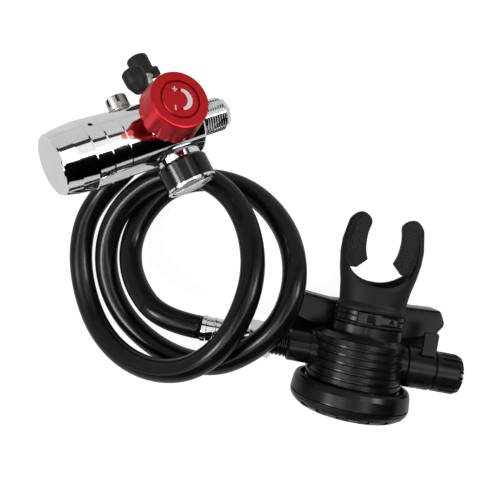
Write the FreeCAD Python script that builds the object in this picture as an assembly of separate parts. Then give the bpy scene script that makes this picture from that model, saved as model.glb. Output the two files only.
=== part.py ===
import FreeCAD, Part
import math
import os

from FreeCAD import Placement, Rotation, Vector

os.makedirs("parts", exist_ok=True)

# Clearances shared by every fit, in millimetres
RUNNING = 0.05
SEAT_GAP = 0.1
LOOSE = 0.3

# Where the first stage lies: its cap face centre and how its own axes are turned
FIRST_FACE = Vector(-99.5, 34.3, 90.0)
FIRST_YAW = 24.6
FIRST_PITCH = 31.3
FIRST_ROLL = -3.6

# Where the second stage lies: the crossing of its valve tube and its mouth axis
SECOND_CENTRE = Vector(50.5, -62.8, 33.4)
SECOND_YAW = -10.5
SECOND_TILT = 2.0

# Turned outline of the first stage, lengths along its axis from the cap face
CAP_LENGTH = 16.0
CAP_FACE_R = 14.8
CAP_R = 17.0
CAP_WALL = 3.0
CAP_EDGE_R = 1.2
VENT_BAND = 8.0
VENT_HOLE_R = 1.1
VENT_HOLE_COUNT = 4
VENT_HOLE_FIRST_DEG = -59.0
LOCK_BAND = 9.6
NECK_R = 14.0
BODY_R = 16.5
BODY_LENGTH = 43.6
BODY_EDGE_R = 1.5
THREAD_RELIEF = 2.8
THREAD_R = 9.0
THREAD_LENGTH = 19.0
THREAD_PITCH = 1.5
THREAD_DEPTH = 0.9
CHAMBER_R = 12.4
PISTON_HEAD = 4.0
PISTON_TRAVEL = 1.0
STEM_R = 3.0
STEM_BORE_R = 1.2
GUIDE_R = 8.0
GUIDE_LENGTH = 8.0
OUTLET_CHAMBER_R = 5.6
OUTLET_CHAMBER_LENGTH = 6.0
ORIFICE_LENGTH = 5.0
ORIFICE_LIP = 0.6
SEAT_INSERT_R = 2.3
SEAT_DEPTH = 1.8
SPIGOT = 4.0
FEED_R = 1.2
INLET_FEED_R = 1.1
GAUGE_FEED_R = 0.9
BURST_FEED_R = 0.8
VALVE_SEAT_BORE_R = 1.6
GROOVE_HALF = 0.8
GROOVE_DEPTH = 1.2
PISTON_GROOVE = 1.6
INLET_BORE_END = 66.0
INLET_BORE_R = 2.6
FILTER_R = 5.4
FILTER_THICKNESS = 2.0
CLIP_THICKNESS = 0.8
CLIP_WIDTH = 1.2
CLIP_GAP = 3.0

# Main spring of the first stage
MAIN_SPRING_R = 8.0
MAIN_SPRING_WIRE_R = 1.1
MAIN_SPRING_TURNS = 4

# Valve with its knob, heights from the first stage axis
VALVE_STATION = 55.5
PLUG_R = 4.6
PLUG_LENGTH = 4.0
PLUG_TRAVEL = 1.2
SPINDLE_R = 3.0
VALVE_SEAT_HEIGHT = 5.0
BONNET_AF = 17.0
BONNET_THREAD_R = 6.6
BONNET_SEAT = 11.0
BONNET_FLAT = 15.6
BONNET_FLAT_R = 10.4
BONNET_TOP = 22.0
KNOB_FACE = 38.0
KNOB_HEIGHT = 14.5
KNOB_R = 14.3
KNOB_SKIRT_R = 15.7
KNOB_BAND = 3.2
KNOB_FLUTES = 12
KNOB_FLUTE_R = 3.4
KNOB_FLUTE_DEPTH = 1.1
KNOB_INSERT_R = 9.0
KNOB_GROOVE = 0.7
INSERT_BEVEL = 0.4
MARK_THICKNESS = 0.15
INSERT_THICKNESS = 2.2
MARK_R = 4.8
MARK_WIDTH = 2.2
MARK_THINNING = 0.4
MARK_SPAN_DEG = (-79.0, 82.0)
MARK_HOLES_DEG = (-88.0, 92.0)
MARK_HOLE_R = 0.7
PLUS_DEG = 116.0
MINUS_DEG = -122.0
SIGN_R = 5.4
SIGN_LENGTH = 2.6
SIGN_WIDTH = 0.7
KNOB_MARK_TURN = 158.4

# Pressure gauge, distances from the first stage axis
GAUGE_STATION = 62.4
GAUGE_FACE = 32.0
GAUGE_CASE_LENGTH = 13.6
GAUGE_R = 13.2
GAUGE_WALL = 1.6
GAUGE_BOSS_R = 11.4
GAUGE_STEM_R = 4.9
GAUGE_STUB = 3.0
GAUGE_STUB_R = 3.0
DIAL_THICKNESS = 0.6
NEEDLE_LENGTH = 8.5
NEEDLE_WIDTH = 1.0
NEEDLE_SHAFT_R = 0.8
NEEDLE_REST_DEG = 135.0
LENS_THICKNESS = 1.6
BEZEL_WIDTH = 1.4

# Filling nipple with its cap, and safety plug, on the side away from the gauge
NIPPLE_STATION = 66.0
NIPPLE_R = 4.0
NIPPLE_HEX_AF = 11.0
NIPPLE_TIP = 38.3
NIPPLE_BORE_R = 1.6
DUST_CAP_R = 5.7
DUST_CAP_LENGTH = 11.0
LOBE_R = 5.9
STRAP_THICKNESS = 2.4
LOBE_TIP_R = 3.8
LOBE_LENGTH = 12.4
LOBE_START = 20.4
LOBE_ACROSS = 9.2
LOBE_UP = 6.0
EAR_ACROSS = 5.6
BURST_STATION = 44.8
BURST_R = 5.5
BURST_TOP = 23.4
BURST_THREAD_R = 4.5
BURST_SLOTS = 6
BURST_DISC = 0.5

# Hose and its crimped ends
HOSE_OD = 13.0
HOSE_ID = 6.5
FERRULE_LENGTH = 19.0
FERRULE_R = 7.1
FERRULE_CRIMPS = 3
PORT_STATION = 54.0
PORT_DEPTH = 7.0
PORT_THREAD_R = 5.0
FITTING_NECK = 3.0
FITTING_BORE_R = 1.6
EXIT_RUN = 16.0
ENTRY_RUN = 23.0
BARB_LENGTH = 15.0
ARC_SHARE = 0.45

# Second stage, lengths along its mouth axis from the valve tube
RING_FRONT = -21.8
RING_LENGTH = 8.6
RING_RIM = 3.2
RING_REAR_GAP = 2.5
RING_WALL = 2.6
FLANGE_R = 29.2
FLANGE_THICKNESS = 2.5
CASE_FRONT_R = 26.2
CASE_BACK_R = 24.8
CASE_BACK = 11.0
CASE_WALL = 2.2
CASE_RIBS = 7
CASE_RIB_HEIGHT = 0.8
COLLAR_END = 18.0
COLLAR_HALF_WIDTH = 19.0
COLLAR_HALF_HEIGHT = 14.2
MOUTH_SHIFT = 3.0
MOUTH_HALF_WIDTH = 15.4
MOUTH_HALF_HEIGHT = 11.2
MOUTH_WALL = 1.8
MOUTH_END = 30.0
COVER_DEPTH = 8.0
COVER_WALL = 1.8
COVER_FACE_R = 27.5
COVER_SCALLOPS = 16
COVER_SCALLOP_R = 3.2
COVER_SCALLOP_DEPTH = 0.8
COVER_SCALLOP_FIRST_DEG = 9.3
COVER_HOLES = 12
COVER_HOLE_R = 1.5
DIAPHRAGM_THICKNESS = 0.8
PLATE_R = 12.0
PLATE_THICKNESS = 1.0
BUTTON_R = 11.0
BUTTON_PROUD = 1.6
BUTTON_FLANGE = 1.6
BUTTON_STEM_R = 2.6
BUTTON_SPRING_WIRE_R = 0.3
BUTTON_SPRING_TURNS = 2

# Valve tube across the second stage, lengths along the tube from the mouth axis
TUBE_R = 7.0
TUBE_BORE_R = 5.2
SOCKET_R = 10.4
SOCKET_LEFT_REACH = 0.9
SOCKET_RIGHT_REACH = 0.5
INLET_COLLAR_R = 8.6
INLET_COLLAR_END = -38.5
STUB_R = 7.3
STUB_END = -49.0
STUB_RIDGES = 5
NUT_AF = 17.0
NUT_LENGTH = 11.0
NECK_LENGTH = 7.0
NECK_TUBE_R = 5.0
ORIFICE_FACE = -14.0
POPPET_LENGTH = 20.0
POPPET_SPRING_LENGTH = 10.0
POPPET_SPRING_R = 3.9
POPPET_SPRING_WIRE_R = 0.45
POPPET_SPRING_TURNS = 6
TUBE_BEYOND = 3.0
BARREL_R = 11.4
BARREL_STEP_R = 9.8
BARREL_END = 41.5
ADJUST_KNOB_R = 10.9
ADJUST_KNOB_END = 57.5
ADJUST_FLUTES = 18
ADJUST_FLUTE_WIDTH = 1.7
ADJUST_FLUTE_DEPTH = 1.0
ADJUST_BAND = 3.4
ADJUST_SPINDLE_R = 3.6
LEVER_RING_START = 32.6
LEVER_RING_LENGTH = 7.4
LEVER_TAB_REACH = 20.5
LEVER_TAB_ROOT = 8.2
LEVER_TAB_TURN = -4.0

# Lever that the diaphragm pushes
PIVOT_ALONG = 14.0
PIVOT_FORWARD = -8.6
LEVER_TIP_ALONG = -1.0
LEVER_TIP_HALF_WIDTH = 3.0
LEVER_WIRE_R = 0.9
BRACKET_LENGTH = 4.0

# Outlet tee under the case and the thin valve that it covers
OUTLET_SEAT_R = 11.5
OUTLET_SEAT_FORWARD = 9.0
OUTLET_SEAT_BELOW = 1.9
TEE_SPAN = 47.8
TEE_WALL = 1.6
TEE_FLOOR = -32.6
TEE_TOP = -13.0
TEE_NECK_HALF = 16.0
TEE_FRONT = -11.0
TEE_BACK_LEFT = 27.0
TEE_BACK_RIGHT = 30.0
TEE_RIDGE = 8.0
TEE_SHOULDER = -22.0
WING_FRONT = 4.0
WING_RIDGE = 19.5
WING_SHOULDER = -26.5
WING_BACK_LEFT = 29.8
WING_BACK_RIGHT = 31.9
WING_TIP = 24.6
WING_CUT = 3.6
WING_FRONT_CUT = 2.8
WING_FRONT_CUT_LENGTH = 5.2
WING_CORNER = 1.4
EXHAUST_VALVE_R = 10.0
EXHAUST_VALVE_THICKNESS = 0.7
EXHAUST_STEM_R = 1.0

# Mouthpiece with two bite tabs, half widths and heights
MOUTHPIECE_START = 18.6
MOUTHPIECE_WALL = 2.2
BITE_END = 78.5
BITE_WIDTH = 13.0
BITE_THICKNESS = 5.0
SHIELD_THICKNESS = 3.0
ARM_HALF_SPAN = 22.5
LIP_END = 41.4
LIP_HALF_SPAN = 14.0
LIP_LEAN = 1.6
BEAD_HEIGHT = 1.1
CLAMP_START = 20.6
CLAMP_WIDTH = 5.0
CLAMP_THICKNESS = 1.2


RING_R = FLANGE_R + SEAT_GAP + RING_RIM
RING_BACK_R = CASE_FRONT_R + RING_REAR_GAP + RING_WALL
CASE_MEAN_R = (CASE_FRONT_R + CASE_BACK_R) / 2
CASE_OPENING_R = CASE_FRONT_R - CASE_RIB_HEIGHT - CASE_WALL
SOCKET_LEFT = -CASE_MEAN_R - SOCKET_LEFT_REACH
SOCKET_RIGHT = CASE_MEAN_R + SOCKET_RIGHT_REACH
OUTLET_SEAT_DROP = CASE_BACK_R + OUTLET_SEAT_BELOW


def first_stage_place():
    return Placement(FIRST_FACE, Rotation(FIRST_YAW, FIRST_PITCH, FIRST_ROLL))


def second_stage_place():
    return Placement(SECOND_CENTRE, Rotation(SECOND_YAW, 0, SECOND_TILT))


X_AXIS = Vector(1, 0, 0)
Y_AXIS = Vector(0, 1, 0)
Z_AXIS = Vector(0, 0, 1)
FIRST = first_stage_place()
SECOND = second_stage_place()


def save(name, place, *solids):
    shape = solids[0] if len(solids) == 1 else Part.makeCompound(list(solids))
    shape = shape.copy()
    shape.Placement = place.multiply(shape.Placement)
    shape.exportStep("parts/" + name + ".step")
    return shape


def turned(outline):
    """Turn a closed outline of (along, radius) points round the X axis."""
    points = [Vector(along, radius, 0) for along, radius in outline]
    face = Part.Face(Part.makePolygon(points + points[:1]))
    return face.revolve(Vector(0, 0, 0), X_AXIS, 360)


def rod(start, end, radius):
    return Part.makeCylinder(radius, end - start, Vector(start, 0, 0), X_AXIS)


def sleeve(start, end, outer, inner):
    return rod(start, end, outer).cut(rod(start, end, inner))


def hexagon_bar(start, end, across_flats):
    corner = across_flats / math.sqrt(3)
    points = [
        Vector(start, corner * math.cos(math.radians(60 * i)), corner * math.sin(math.radians(60 * i)))
        for i in range(7)
    ]
    bar = Part.Face(Part.makePolygon(points)).extrude(Vector(end - start, 0, 0))
    chamfer = 0.12 * across_flats
    crown = turned([
        (start, 0), (start, across_flats / 2), (start + chamfer / 2, corner),
        (end - chamfer / 2, corner), (end, across_flats / 2), (end, 0),
    ])
    return bar.common(crown)


def aim(shape, direction, foot):
    """Point a piece made along X in another direction and set its start at a foot."""
    moved = shape.copy()
    moved.Placement = Placement(foot, Rotation(X_AXIS, direction)).multiply(moved.Placement)
    return moved


def drill(start, end, radius):
    """A straight round bar, or a drilling, between two points."""
    way = end.sub(start)
    return Part.makeCylinder(radius, way.Length, start, way)


def ring_of(shape, count, axis, centre=Vector(0, 0, 0), first_deg=0.0):
    """Copies of a cutter, evenly spaced round an axis."""
    copies = []
    for i in range(count):
        copy = shape.copy()
        copy.rotate(centre, axis, first_deg + 360.0 * i / count)
        copies.append(copy)
    return copies


def thread_outline(start, end, radius, pitch, depth):
    """Crests and roots of a thread drawn as rings, from the low end to the high end."""
    points = []
    count = int((end - start) / pitch)
    for i in range(count):
        root = start + i * pitch
        points += [(root, radius - depth), (root + 0.45 * pitch, radius), (root + 0.6 * pitch, radius)]
    points.append((start + count * pitch, radius - depth))
    return points


def biarc_coil(radius, wire_r, length, turns):
    """A coil spring along X: quarter turns as arcs, swept by the wire's circle."""
    edges = []
    count = int(turns * 4)
    height = (length - 2 * wire_r) / count

    def point(quarter):
        angle = quarter * math.pi / 2
        along = wire_r + height * quarter
        return Vector(along, radius * math.cos(angle), radius * math.sin(angle))

    for i in range(count):
        edges.append(Part.Arc(point(i), point(i + 0.5), point(i + 1)).toShape())
    path = Part.Wire(edges)
    tangent = edges[0].tangentAt(edges[0].FirstParameter)
    profile = Part.Wire([Part.makeCircle(wire_r, point(0), tangent)])
    return path.makePipeShell([profile], True, False)


def oval_wire(along, half_width, half_height):
    """An oval across the Y axis at a station along it."""
    if half_width > half_height:
        ellipse = Part.Ellipse(Vector(0, along, 0), half_width, half_height)
        shape = ellipse.toShape()
        shape.rotate(Vector(0, along, 0), X_AXIS, 90)
    else:
        shape = Part.makeCircle(half_width, Vector(0, along, 0), Y_AXIS)
    return Part.Wire([shape])


def oval_loft(stations):
    return Part.makeLoft([oval_wire(*station) for station in stations], True, True)


def oval_bar(start, end, half_width, half_height):
    face = Part.Face(oval_wire(start, half_width, half_height))
    return face.extrude(Vector(0, end - start, 0))


def on_valve(shape):
    return aim(shape, Z_AXIS, Vector(VALVE_STATION, 0, 0))


def on_gauge(shape):
    return aim(shape, Vector(0, -1, 0), Vector(GAUGE_STATION, 0, 0))


def on_nipple(shape):
    return aim(shape, Y_AXIS, Vector(NIPPLE_STATION, 0, 0))


def on_burst(shape):
    return aim(shape, Y_AXIS, Vector(BURST_STATION, 0, 0))


def on_port(shape):
    return aim(shape, Vector(0, 0, -1), Vector(PORT_STATION, 0, 0))


def on_inlet(shape):
    """Points a piece made along X out of the second stage's inlet."""
    return aim(shape, Vector(-1, 0, 0), Vector(0, 0, 0))


def on_mouth(shape):
    return aim(shape, Y_AXIS, Vector(0, 0, 0))


def at_mouth(shape):
    """Moves a piece of the mouth tube to where the tube leaves the case."""
    shape.translate(Vector(MOUTH_SHIFT, 0, 0))
    return shape


# First stage
VENT_START = CAP_LENGTH
LOCK_START = VENT_START + VENT_BAND
BODY_START = LOCK_START + LOCK_BAND
BODY_END = BODY_START + BODY_LENGTH
THREAD_START = BODY_END + THREAD_RELIEF
THREAD_END = THREAD_START + THREAD_LENGTH
GUIDE_START = LOCK_START + SPIGOT + 2.0
GUIDE_END = GUIDE_START + GUIDE_LENGTH
ORIFICE_START = GUIDE_END + OUTLET_CHAMBER_LENGTH
ORIFICE_END = ORIFICE_START + ORIFICE_LENGTH
SPIGOT_BORE_R = CHAMBER_R + 0.8
CAP_THREAD_R = CHAMBER_R + 1.6
STEM_TIP = ORIFICE_START - ORIFICE_LIP - PISTON_TRAVEL - SEAT_GAP
PISTON_FACE = CAP_WALL + 1.6
PISTON_BACK = PISTON_FACE + PISTON_HEAD
PORT_FLOOR = -(BODY_R - PORT_DEPTH)
NIPPLE_SEAT = BODY_R - 6.0
GAUGE_SEAT = BODY_R - 5.0
BURST_SEAT = BODY_R - 5.0
FILTER_SEAT = THREAD_END - FILTER_THICKNESS - CLIP_THICKNESS - 0.6


def first_stage_body():
    outline = [
        (LOCK_START, SPIGOT_BORE_R), (LOCK_START, NECK_R), (BODY_START, NECK_R), (BODY_START, BODY_R - 0.4),
        (BODY_START + 0.4, BODY_R), (BODY_END - BODY_EDGE_R, BODY_R),
        (BODY_END - BODY_EDGE_R * 0.3, BODY_R - BODY_EDGE_R * 0.3), (BODY_END, BODY_R - BODY_EDGE_R),
        (BODY_END, THREAD_R - THREAD_DEPTH), (THREAD_START, THREAD_R - THREAD_DEPTH),
    ]
    outline += thread_outline(THREAD_START, THREAD_END - THREAD_PITCH, THREAD_R, THREAD_PITCH, THREAD_DEPTH)
    outline += [
        (THREAD_END, THREAD_R - THREAD_DEPTH - 0.6), (THREAD_END, FILTER_R + SEAT_GAP),
        (FILTER_SEAT, FILTER_R + SEAT_GAP), (FILTER_SEAT, INLET_BORE_R), (INLET_BORE_END, INLET_BORE_R),
        (INLET_BORE_END, 0), (ORIFICE_END, 0), (ORIFICE_END, OUTLET_CHAMBER_R + SEAT_GAP),
        (GUIDE_END, OUTLET_CHAMBER_R + SEAT_GAP), (GUIDE_END, GUIDE_R + SEAT_GAP),
        (GUIDE_START, GUIDE_R + SEAT_GAP), (GUIDE_START, CHAMBER_R), (LOCK_START + SPIGOT, CHAMBER_R),
        (LOCK_START + SPIGOT, SPIGOT_BORE_R),
    ]
    body = turned(outline)
    pocket = on_valve(rod(VALVE_SEAT_HEIGHT, BODY_R + 1, PLUG_R + RUNNING))
    gland = on_valve(rod(BONNET_SEAT, BODY_R + 1, BONNET_THREAD_R + SEAT_GAP))
    flat = Part.makeCylinder(BONNET_FLAT_R, 5, Vector(VALVE_STATION, 0, BONNET_FLAT), Z_AXIS)
    seat_bore = on_valve(rod(0, VALVE_SEAT_HEIGHT + 0.1, VALVE_SEAT_BORE_R))
    feed = rod(ORIFICE_END - 0.1, VALVE_STATION, FEED_R)
    beside_plug = Vector(VALVE_STATION + PLUG_R - 0.8, 0, 8.6)
    inlet = drill(Vector(INLET_BORE_END + 0.5, 0, 0.5), beside_plug, INLET_FEED_R)
    gauge_port = on_gauge(rod(GAUGE_SEAT, BODY_R + 1, GAUGE_STEM_R + SEAT_GAP))
    gauge_foot = Vector(GAUGE_STATION, -GAUGE_SEAT - 0.2, 0)
    gauge_feed = drill(Vector(INLET_BORE_END + 2, 0, 0), gauge_foot, GAUGE_FEED_R)
    nipple_port = on_nipple(rod(NIPPLE_SEAT, BODY_R + 1, NIPPLE_R + SEAT_GAP))
    nipple_feed = drill(Vector(NIPPLE_STATION, 0, 0), Vector(NIPPLE_STATION, NIPPLE_SEAT + 0.2, 0), FEED_R)
    burst_port = on_burst(rod(BURST_SEAT, BODY_R + 1, BURST_THREAD_R + SEAT_GAP))
    burst_foot = Vector(BURST_STATION + 1.5, BURST_SEAT + 0.2, -2)
    burst_feed = drill(Vector(INLET_BORE_END + 1, 1, -2), burst_foot, BURST_FEED_R)
    port = on_port(rod(-PORT_FLOOR, BODY_R + 1, PORT_THREAD_R + SEAT_GAP))
    chamber_edge = Vector(GUIDE_END + 3, 0, -OUTLET_CHAMBER_R + 1)
    port_feed = drill(chamber_edge, Vector(PORT_STATION - 1, 0, PORT_FLOOR - 1), FEED_R)
    for cutter in (pocket, gland, flat, seat_bore, feed, inlet, gauge_port, gauge_feed, nipple_port,
                   nipple_feed, burst_port, burst_feed, port, port_feed):
        body = body.cut(cutter)
    return body


def end_cap():
    floor = PISTON_FACE - SEAT_GAP
    outline = [
        (0, 0), (0, CAP_FACE_R - CAP_EDGE_R), (CAP_EDGE_R * 0.3, CAP_FACE_R - CAP_EDGE_R * 0.3),
        (CAP_EDGE_R, CAP_FACE_R), (CAP_LENGTH * 0.5, 0.42 * CAP_FACE_R + 0.58 * CAP_R),
        (CAP_LENGTH - 0.4, CAP_R), (CAP_LENGTH, CAP_R - 0.4), (CAP_LENGTH, CAP_THREAD_R),
        (CAP_LENGTH - SPIGOT, CAP_THREAD_R), (CAP_LENGTH - SPIGOT, CHAMBER_R), (floor, CHAMBER_R),
        (floor, STEM_R + 2), (CAP_WALL - 0.5, STEM_R + 2), (CAP_WALL - 0.5, 0),
    ]
    return turned(outline)


def vent_ring():
    spigot_r = CAP_THREAD_R - SEAT_GAP
    outline = [
        (CAP_LENGTH - SPIGOT, CHAMBER_R), (CAP_LENGTH - SPIGOT, spigot_r), (VENT_START, spigot_r),
        (VENT_START, CAP_R - 0.4), (VENT_START + 0.4, CAP_R), (LOCK_START - 0.4, CAP_R - 0.1),
        (LOCK_START, CAP_R - 0.5), (LOCK_START, SPIGOT_BORE_R - SEAT_GAP),
        (LOCK_START + SPIGOT, SPIGOT_BORE_R - SEAT_GAP), (LOCK_START + SPIGOT, CHAMBER_R),
    ]
    ring = turned(outline)
    hole = Part.makeCylinder(VENT_HOLE_R, CAP_R, Vector(VENT_START + VENT_BAND / 2, 0, 0), Z_AXIS)
    for cutter in ring_of(hole, VENT_HOLE_COUNT, X_AXIS, first_deg=-VENT_HOLE_FIRST_DEG - 180):
        ring = ring.cut(cutter)
    return ring


def lock_ring():
    return turned([
        (LOCK_START, NECK_R + SEAT_GAP), (LOCK_START, CAP_R - 0.5), (LOCK_START + 0.4, CAP_R - 0.1),
        (BODY_START - 0.4, BODY_R + 0.2), (BODY_START, BODY_R - 0.2), (BODY_START, NECK_R + SEAT_GAP),
    ])


def o_ring(along, centre_r, cord):
    return Part.makeTorus(centre_r, cord / 2, Vector(along, 0, 0), X_AXIS)


def piston():
    groove = PISTON_FACE + PISTON_HEAD / 2
    head_r = CHAMBER_R - RUNNING
    outline = [
        (PISTON_FACE, STEM_BORE_R), (PISTON_FACE, head_r),
        (groove - GROOVE_HALF, head_r), (groove - GROOVE_HALF, head_r - PISTON_GROOVE),
        (groove + GROOVE_HALF, head_r - PISTON_GROOVE), (groove + GROOVE_HALF, head_r),
        (PISTON_BACK, head_r), (PISTON_BACK, STEM_R),
        (STEM_TIP, STEM_R), (STEM_TIP, SEAT_INSERT_R), (STEM_TIP - SEAT_DEPTH, SEAT_INSERT_R),
        (STEM_TIP - SEAT_DEPTH, STEM_BORE_R),
    ]
    stem = turned(outline)
    cross = Part.makeCylinder(0.8, 3 * STEM_R, Vector(GUIDE_END + 2.2, 0, -1.5 * STEM_R), Z_AXIS)
    return stem.cut(cross)


def seat_insert():
    return rod(STEM_TIP - SEAT_DEPTH, STEM_TIP, SEAT_INSERT_R - 0.02)


def stem_guide():
    groove = GUIDE_START + GUIDE_LENGTH / 2
    bore = STEM_R + RUNNING
    return turned([
        (GUIDE_START, bore), (GUIDE_START, GUIDE_R), (GUIDE_END, GUIDE_R), (GUIDE_END, bore),
        (groove + GROOVE_HALF, bore), (groove + GROOVE_HALF, bore + GROOVE_DEPTH),
        (groove - GROOVE_HALF, bore + GROOVE_DEPTH), (groove - GROOVE_HALF, bore),
    ])


def pressure_orifice():
    return turned([
        (ORIFICE_START - ORIFICE_LIP, STEM_BORE_R), (ORIFICE_START - ORIFICE_LIP, STEM_BORE_R + 0.3),
        (ORIFICE_START, 2 * STEM_BORE_R),
        (ORIFICE_START, OUTLET_CHAMBER_R), (ORIFICE_END, OUTLET_CHAMBER_R), (ORIFICE_END, STEM_BORE_R),
    ])


def filter_clip():
    """A spring ring with a gap, so that it can be pinched out."""
    start = FILTER_SEAT + FILTER_THICKNESS
    ring = sleeve(start, start + CLIP_THICKNESS, FILTER_R, FILTER_R - CLIP_WIDTH)
    return ring.cut(Part.makeBox(9, CLIP_GAP, 9, Vector(FILTER_SEAT, -CLIP_GAP / 2, 0)))


def spring_between(start, end, radius, wire_r, turns):
    """A coil spring that stops just short of the faces it bears on."""
    spring = biarc_coil(radius, wire_r, end - start - 2 * RUNNING, turns)
    spring.translate(Vector(start + RUNNING, 0, 0))
    return spring


save("first_stage_body", FIRST, first_stage_body())
save("end_cap", FIRST, end_cap())
save("vent_ring", FIRST, vent_ring())
save("lock_ring", FIRST, lock_ring())
save("tank_o_ring", FIRST, o_ring(BODY_END + 1.3, THREAD_R + 0.2, 2.2))
save("inlet_filter", FIRST, rod(FILTER_SEAT, FILTER_SEAT + FILTER_THICKNESS, FILTER_R))
save("filter_clip", FIRST, filter_clip())
save("piston", FIRST, piston())
save("seat_insert", FIRST, seat_insert())
save("piston_o_ring", FIRST, o_ring(PISTON_FACE + PISTON_HEAD / 2, CHAMBER_R - RUNNING - 0.8, 1.5))
save("stem_guide", FIRST, stem_guide())
save("pressure_orifice", FIRST, pressure_orifice())
main_spring = spring_between(PISTON_BACK, GUIDE_START, MAIN_SPRING_R, MAIN_SPRING_WIRE_R, MAIN_SPRING_TURNS)
save("main_spring", FIRST, main_spring)
print("main spring volume", round(main_spring.Volume, 1))


# Valve, from the spindle plug outwards to the red knob
KNOB_BACK = KNOB_FACE - KNOB_HEIGHT
PLUG_TOP = VALVE_SEAT_HEIGHT + PLUG_LENGTH
SPINDLE_TANG = 2.0
SPINDLE_TOP = KNOB_FACE - 3.2
INSERT_POCKET_R = KNOB_INSERT_R + KNOB_GROOVE


def valve_plug():
    start = VALVE_SEAT_HEIGHT + SEAT_GAP
    plug = rod(start, PLUG_TOP, PLUG_R)
    slot = Part.makeBox(SPINDLE_TANG, 2 * PLUG_R, 1.6, Vector(PLUG_TOP - SPINDLE_TANG, -PLUG_R, -0.8))
    return plug.cut(slot)


def valve_spindle():
    collar_r = PLUG_R - 0.3
    collar_start = PLUG_TOP + PLUG_TRAVEL + 0.15
    collar_end = BONNET_SEAT - SEAT_GAP
    return turned([
        (collar_start, 0), (collar_start, collar_r), (collar_end, collar_r), (collar_end, SPINDLE_R),
        (SPINDLE_TOP, SPINDLE_R), (SPINDLE_TOP, 0),
    ])


def bonnet():
    bore = SPINDLE_R + RUNNING
    groove = BONNET_FLAT + 2.0
    blank = hexagon_bar(BONNET_FLAT + SEAT_GAP, BONNET_TOP, BONNET_AF)
    blank = blank.fuse(rod(BONNET_SEAT, BONNET_FLAT + 1, BONNET_THREAD_R))
    cutter = turned([
        (BONNET_SEAT - 1, 0), (BONNET_SEAT - 1, bore),
        (groove - GROOVE_HALF, bore), (groove - GROOVE_HALF, bore + GROOVE_DEPTH),
        (groove + GROOVE_HALF, bore + GROOVE_DEPTH), (groove + GROOVE_HALF, bore),
        (BONNET_TOP + 1, bore), (BONNET_TOP + 1, 0),
    ])
    return blank.cut(cutter)


def valve_knob():
    pocket = KNOB_FACE - INSERT_THICKNESS - 0.2
    outline = [
        (KNOB_BACK, SPINDLE_R + 0.02), (KNOB_BACK, SPINDLE_R + 3.5), (KNOB_BACK + 2.5, SPINDLE_R + 3.5),
        (KNOB_BACK + 2.5, KNOB_SKIRT_R - 2.2), (KNOB_BACK, KNOB_SKIRT_R - 1.6),
        (KNOB_BACK, KNOB_SKIRT_R - 0.6),
        (KNOB_BACK + 0.8, KNOB_SKIRT_R), (KNOB_FACE - KNOB_BAND, KNOB_R + 0.2), (KNOB_FACE - 0.9, KNOB_R),
        (KNOB_FACE - 0.25, KNOB_R - 0.3), (KNOB_FACE, KNOB_R - 0.9), (KNOB_FACE, INSERT_POCKET_R),
        (pocket, INSERT_POCKET_R), (pocket, SPINDLE_R + 0.02),
    ]
    knob = turned(outline)
    flute = rod(KNOB_BACK - 1, KNOB_FACE - KNOB_BAND, KNOB_FLUTE_R)
    cone_tip = Part.makeSphere(KNOB_FLUTE_R, Vector(KNOB_FACE - KNOB_BAND, 0, 0))
    flute = flute.fuse(cone_tip)
    flute.translate(Vector(0, 0, KNOB_SKIRT_R + KNOB_FLUTE_R - KNOB_FLUTE_DEPTH))
    for cutter in ring_of(flute, KNOB_FLUTES, X_AXIS):
        knob = knob.cut(cutter)
    return knob


def on_disc(degrees, radius):
    """A place on the knob's face, turned from the middle of its curved mark."""
    angle = math.radians(degrees)
    return Vector(0, -radius * math.sin(angle), radius * math.cos(angle))


def knob_insert():
    start = KNOB_FACE - INSERT_THICKNESS - 0.15
    disc = turned([
        (start, 0), (start, KNOB_INSERT_R), (KNOB_FACE - INSERT_BEVEL, KNOB_INSERT_R),
        (KNOB_FACE, KNOB_INSERT_R - INSERT_BEVEL), (KNOB_FACE, 0),
    ])
    for degrees in MARK_HOLES_DEG:
        hole = rod(KNOB_FACE - 1.2, KNOB_FACE + 1, MARK_HOLE_R)
        hole.translate(on_disc(degrees, MARK_R))
        disc = disc.cut(hole)
    disc.rotate(Vector(0, 0, 0), X_AXIS, KNOB_MARK_TURN)
    return disc


def knob_marks():
    """A crescent that thins towards its ends, and a plus and a minus beside them."""
    start = KNOB_FACE
    outer = rod(start, start + MARK_THICKNESS, MARK_R + MARK_WIDTH / 2)
    inner = rod(start - 1, start + 1, MARK_R - MARK_WIDTH / 2 + MARK_THINNING)
    inner.translate(Vector(0, 0, -MARK_THINNING))
    low, high = MARK_SPAN_DEG
    wedge_points = [on_disc(low + (high - low) * step / 8, 2 * MARK_R) for step in range(9)]
    wedge_points = [Vector(start - 1, 0, 0)] + [point + Vector(start - 1, 0, 0) for point in wedge_points]
    wedge = Part.Face(Part.makePolygon(wedge_points + wedge_points[:1])).extrude(Vector(3, 0, 0))
    arc = outer.cut(inner).common(wedge)
    corner = Vector(start, -SIGN_LENGTH / 2, -SIGN_WIDTH / 2)
    bar = Part.makeBox(MARK_THICKNESS, SIGN_LENGTH, SIGN_WIDTH, corner)
    post = bar.copy()
    post.rotate(Vector(0, 0, 0), X_AXIS, 90)
    plus = bar.fuse(post).removeSplitter()
    plus.translate(on_disc(PLUS_DEG, SIGN_R))
    minus = bar.copy()
    minus.translate(on_disc(MINUS_DEG, SIGN_R))
    marks = [arc.Solids[0], plus.Solids[0], minus]
    for mark in marks:
        mark.rotate(Vector(0, 0, 0), X_AXIS, KNOB_MARK_TURN)
    return marks


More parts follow.
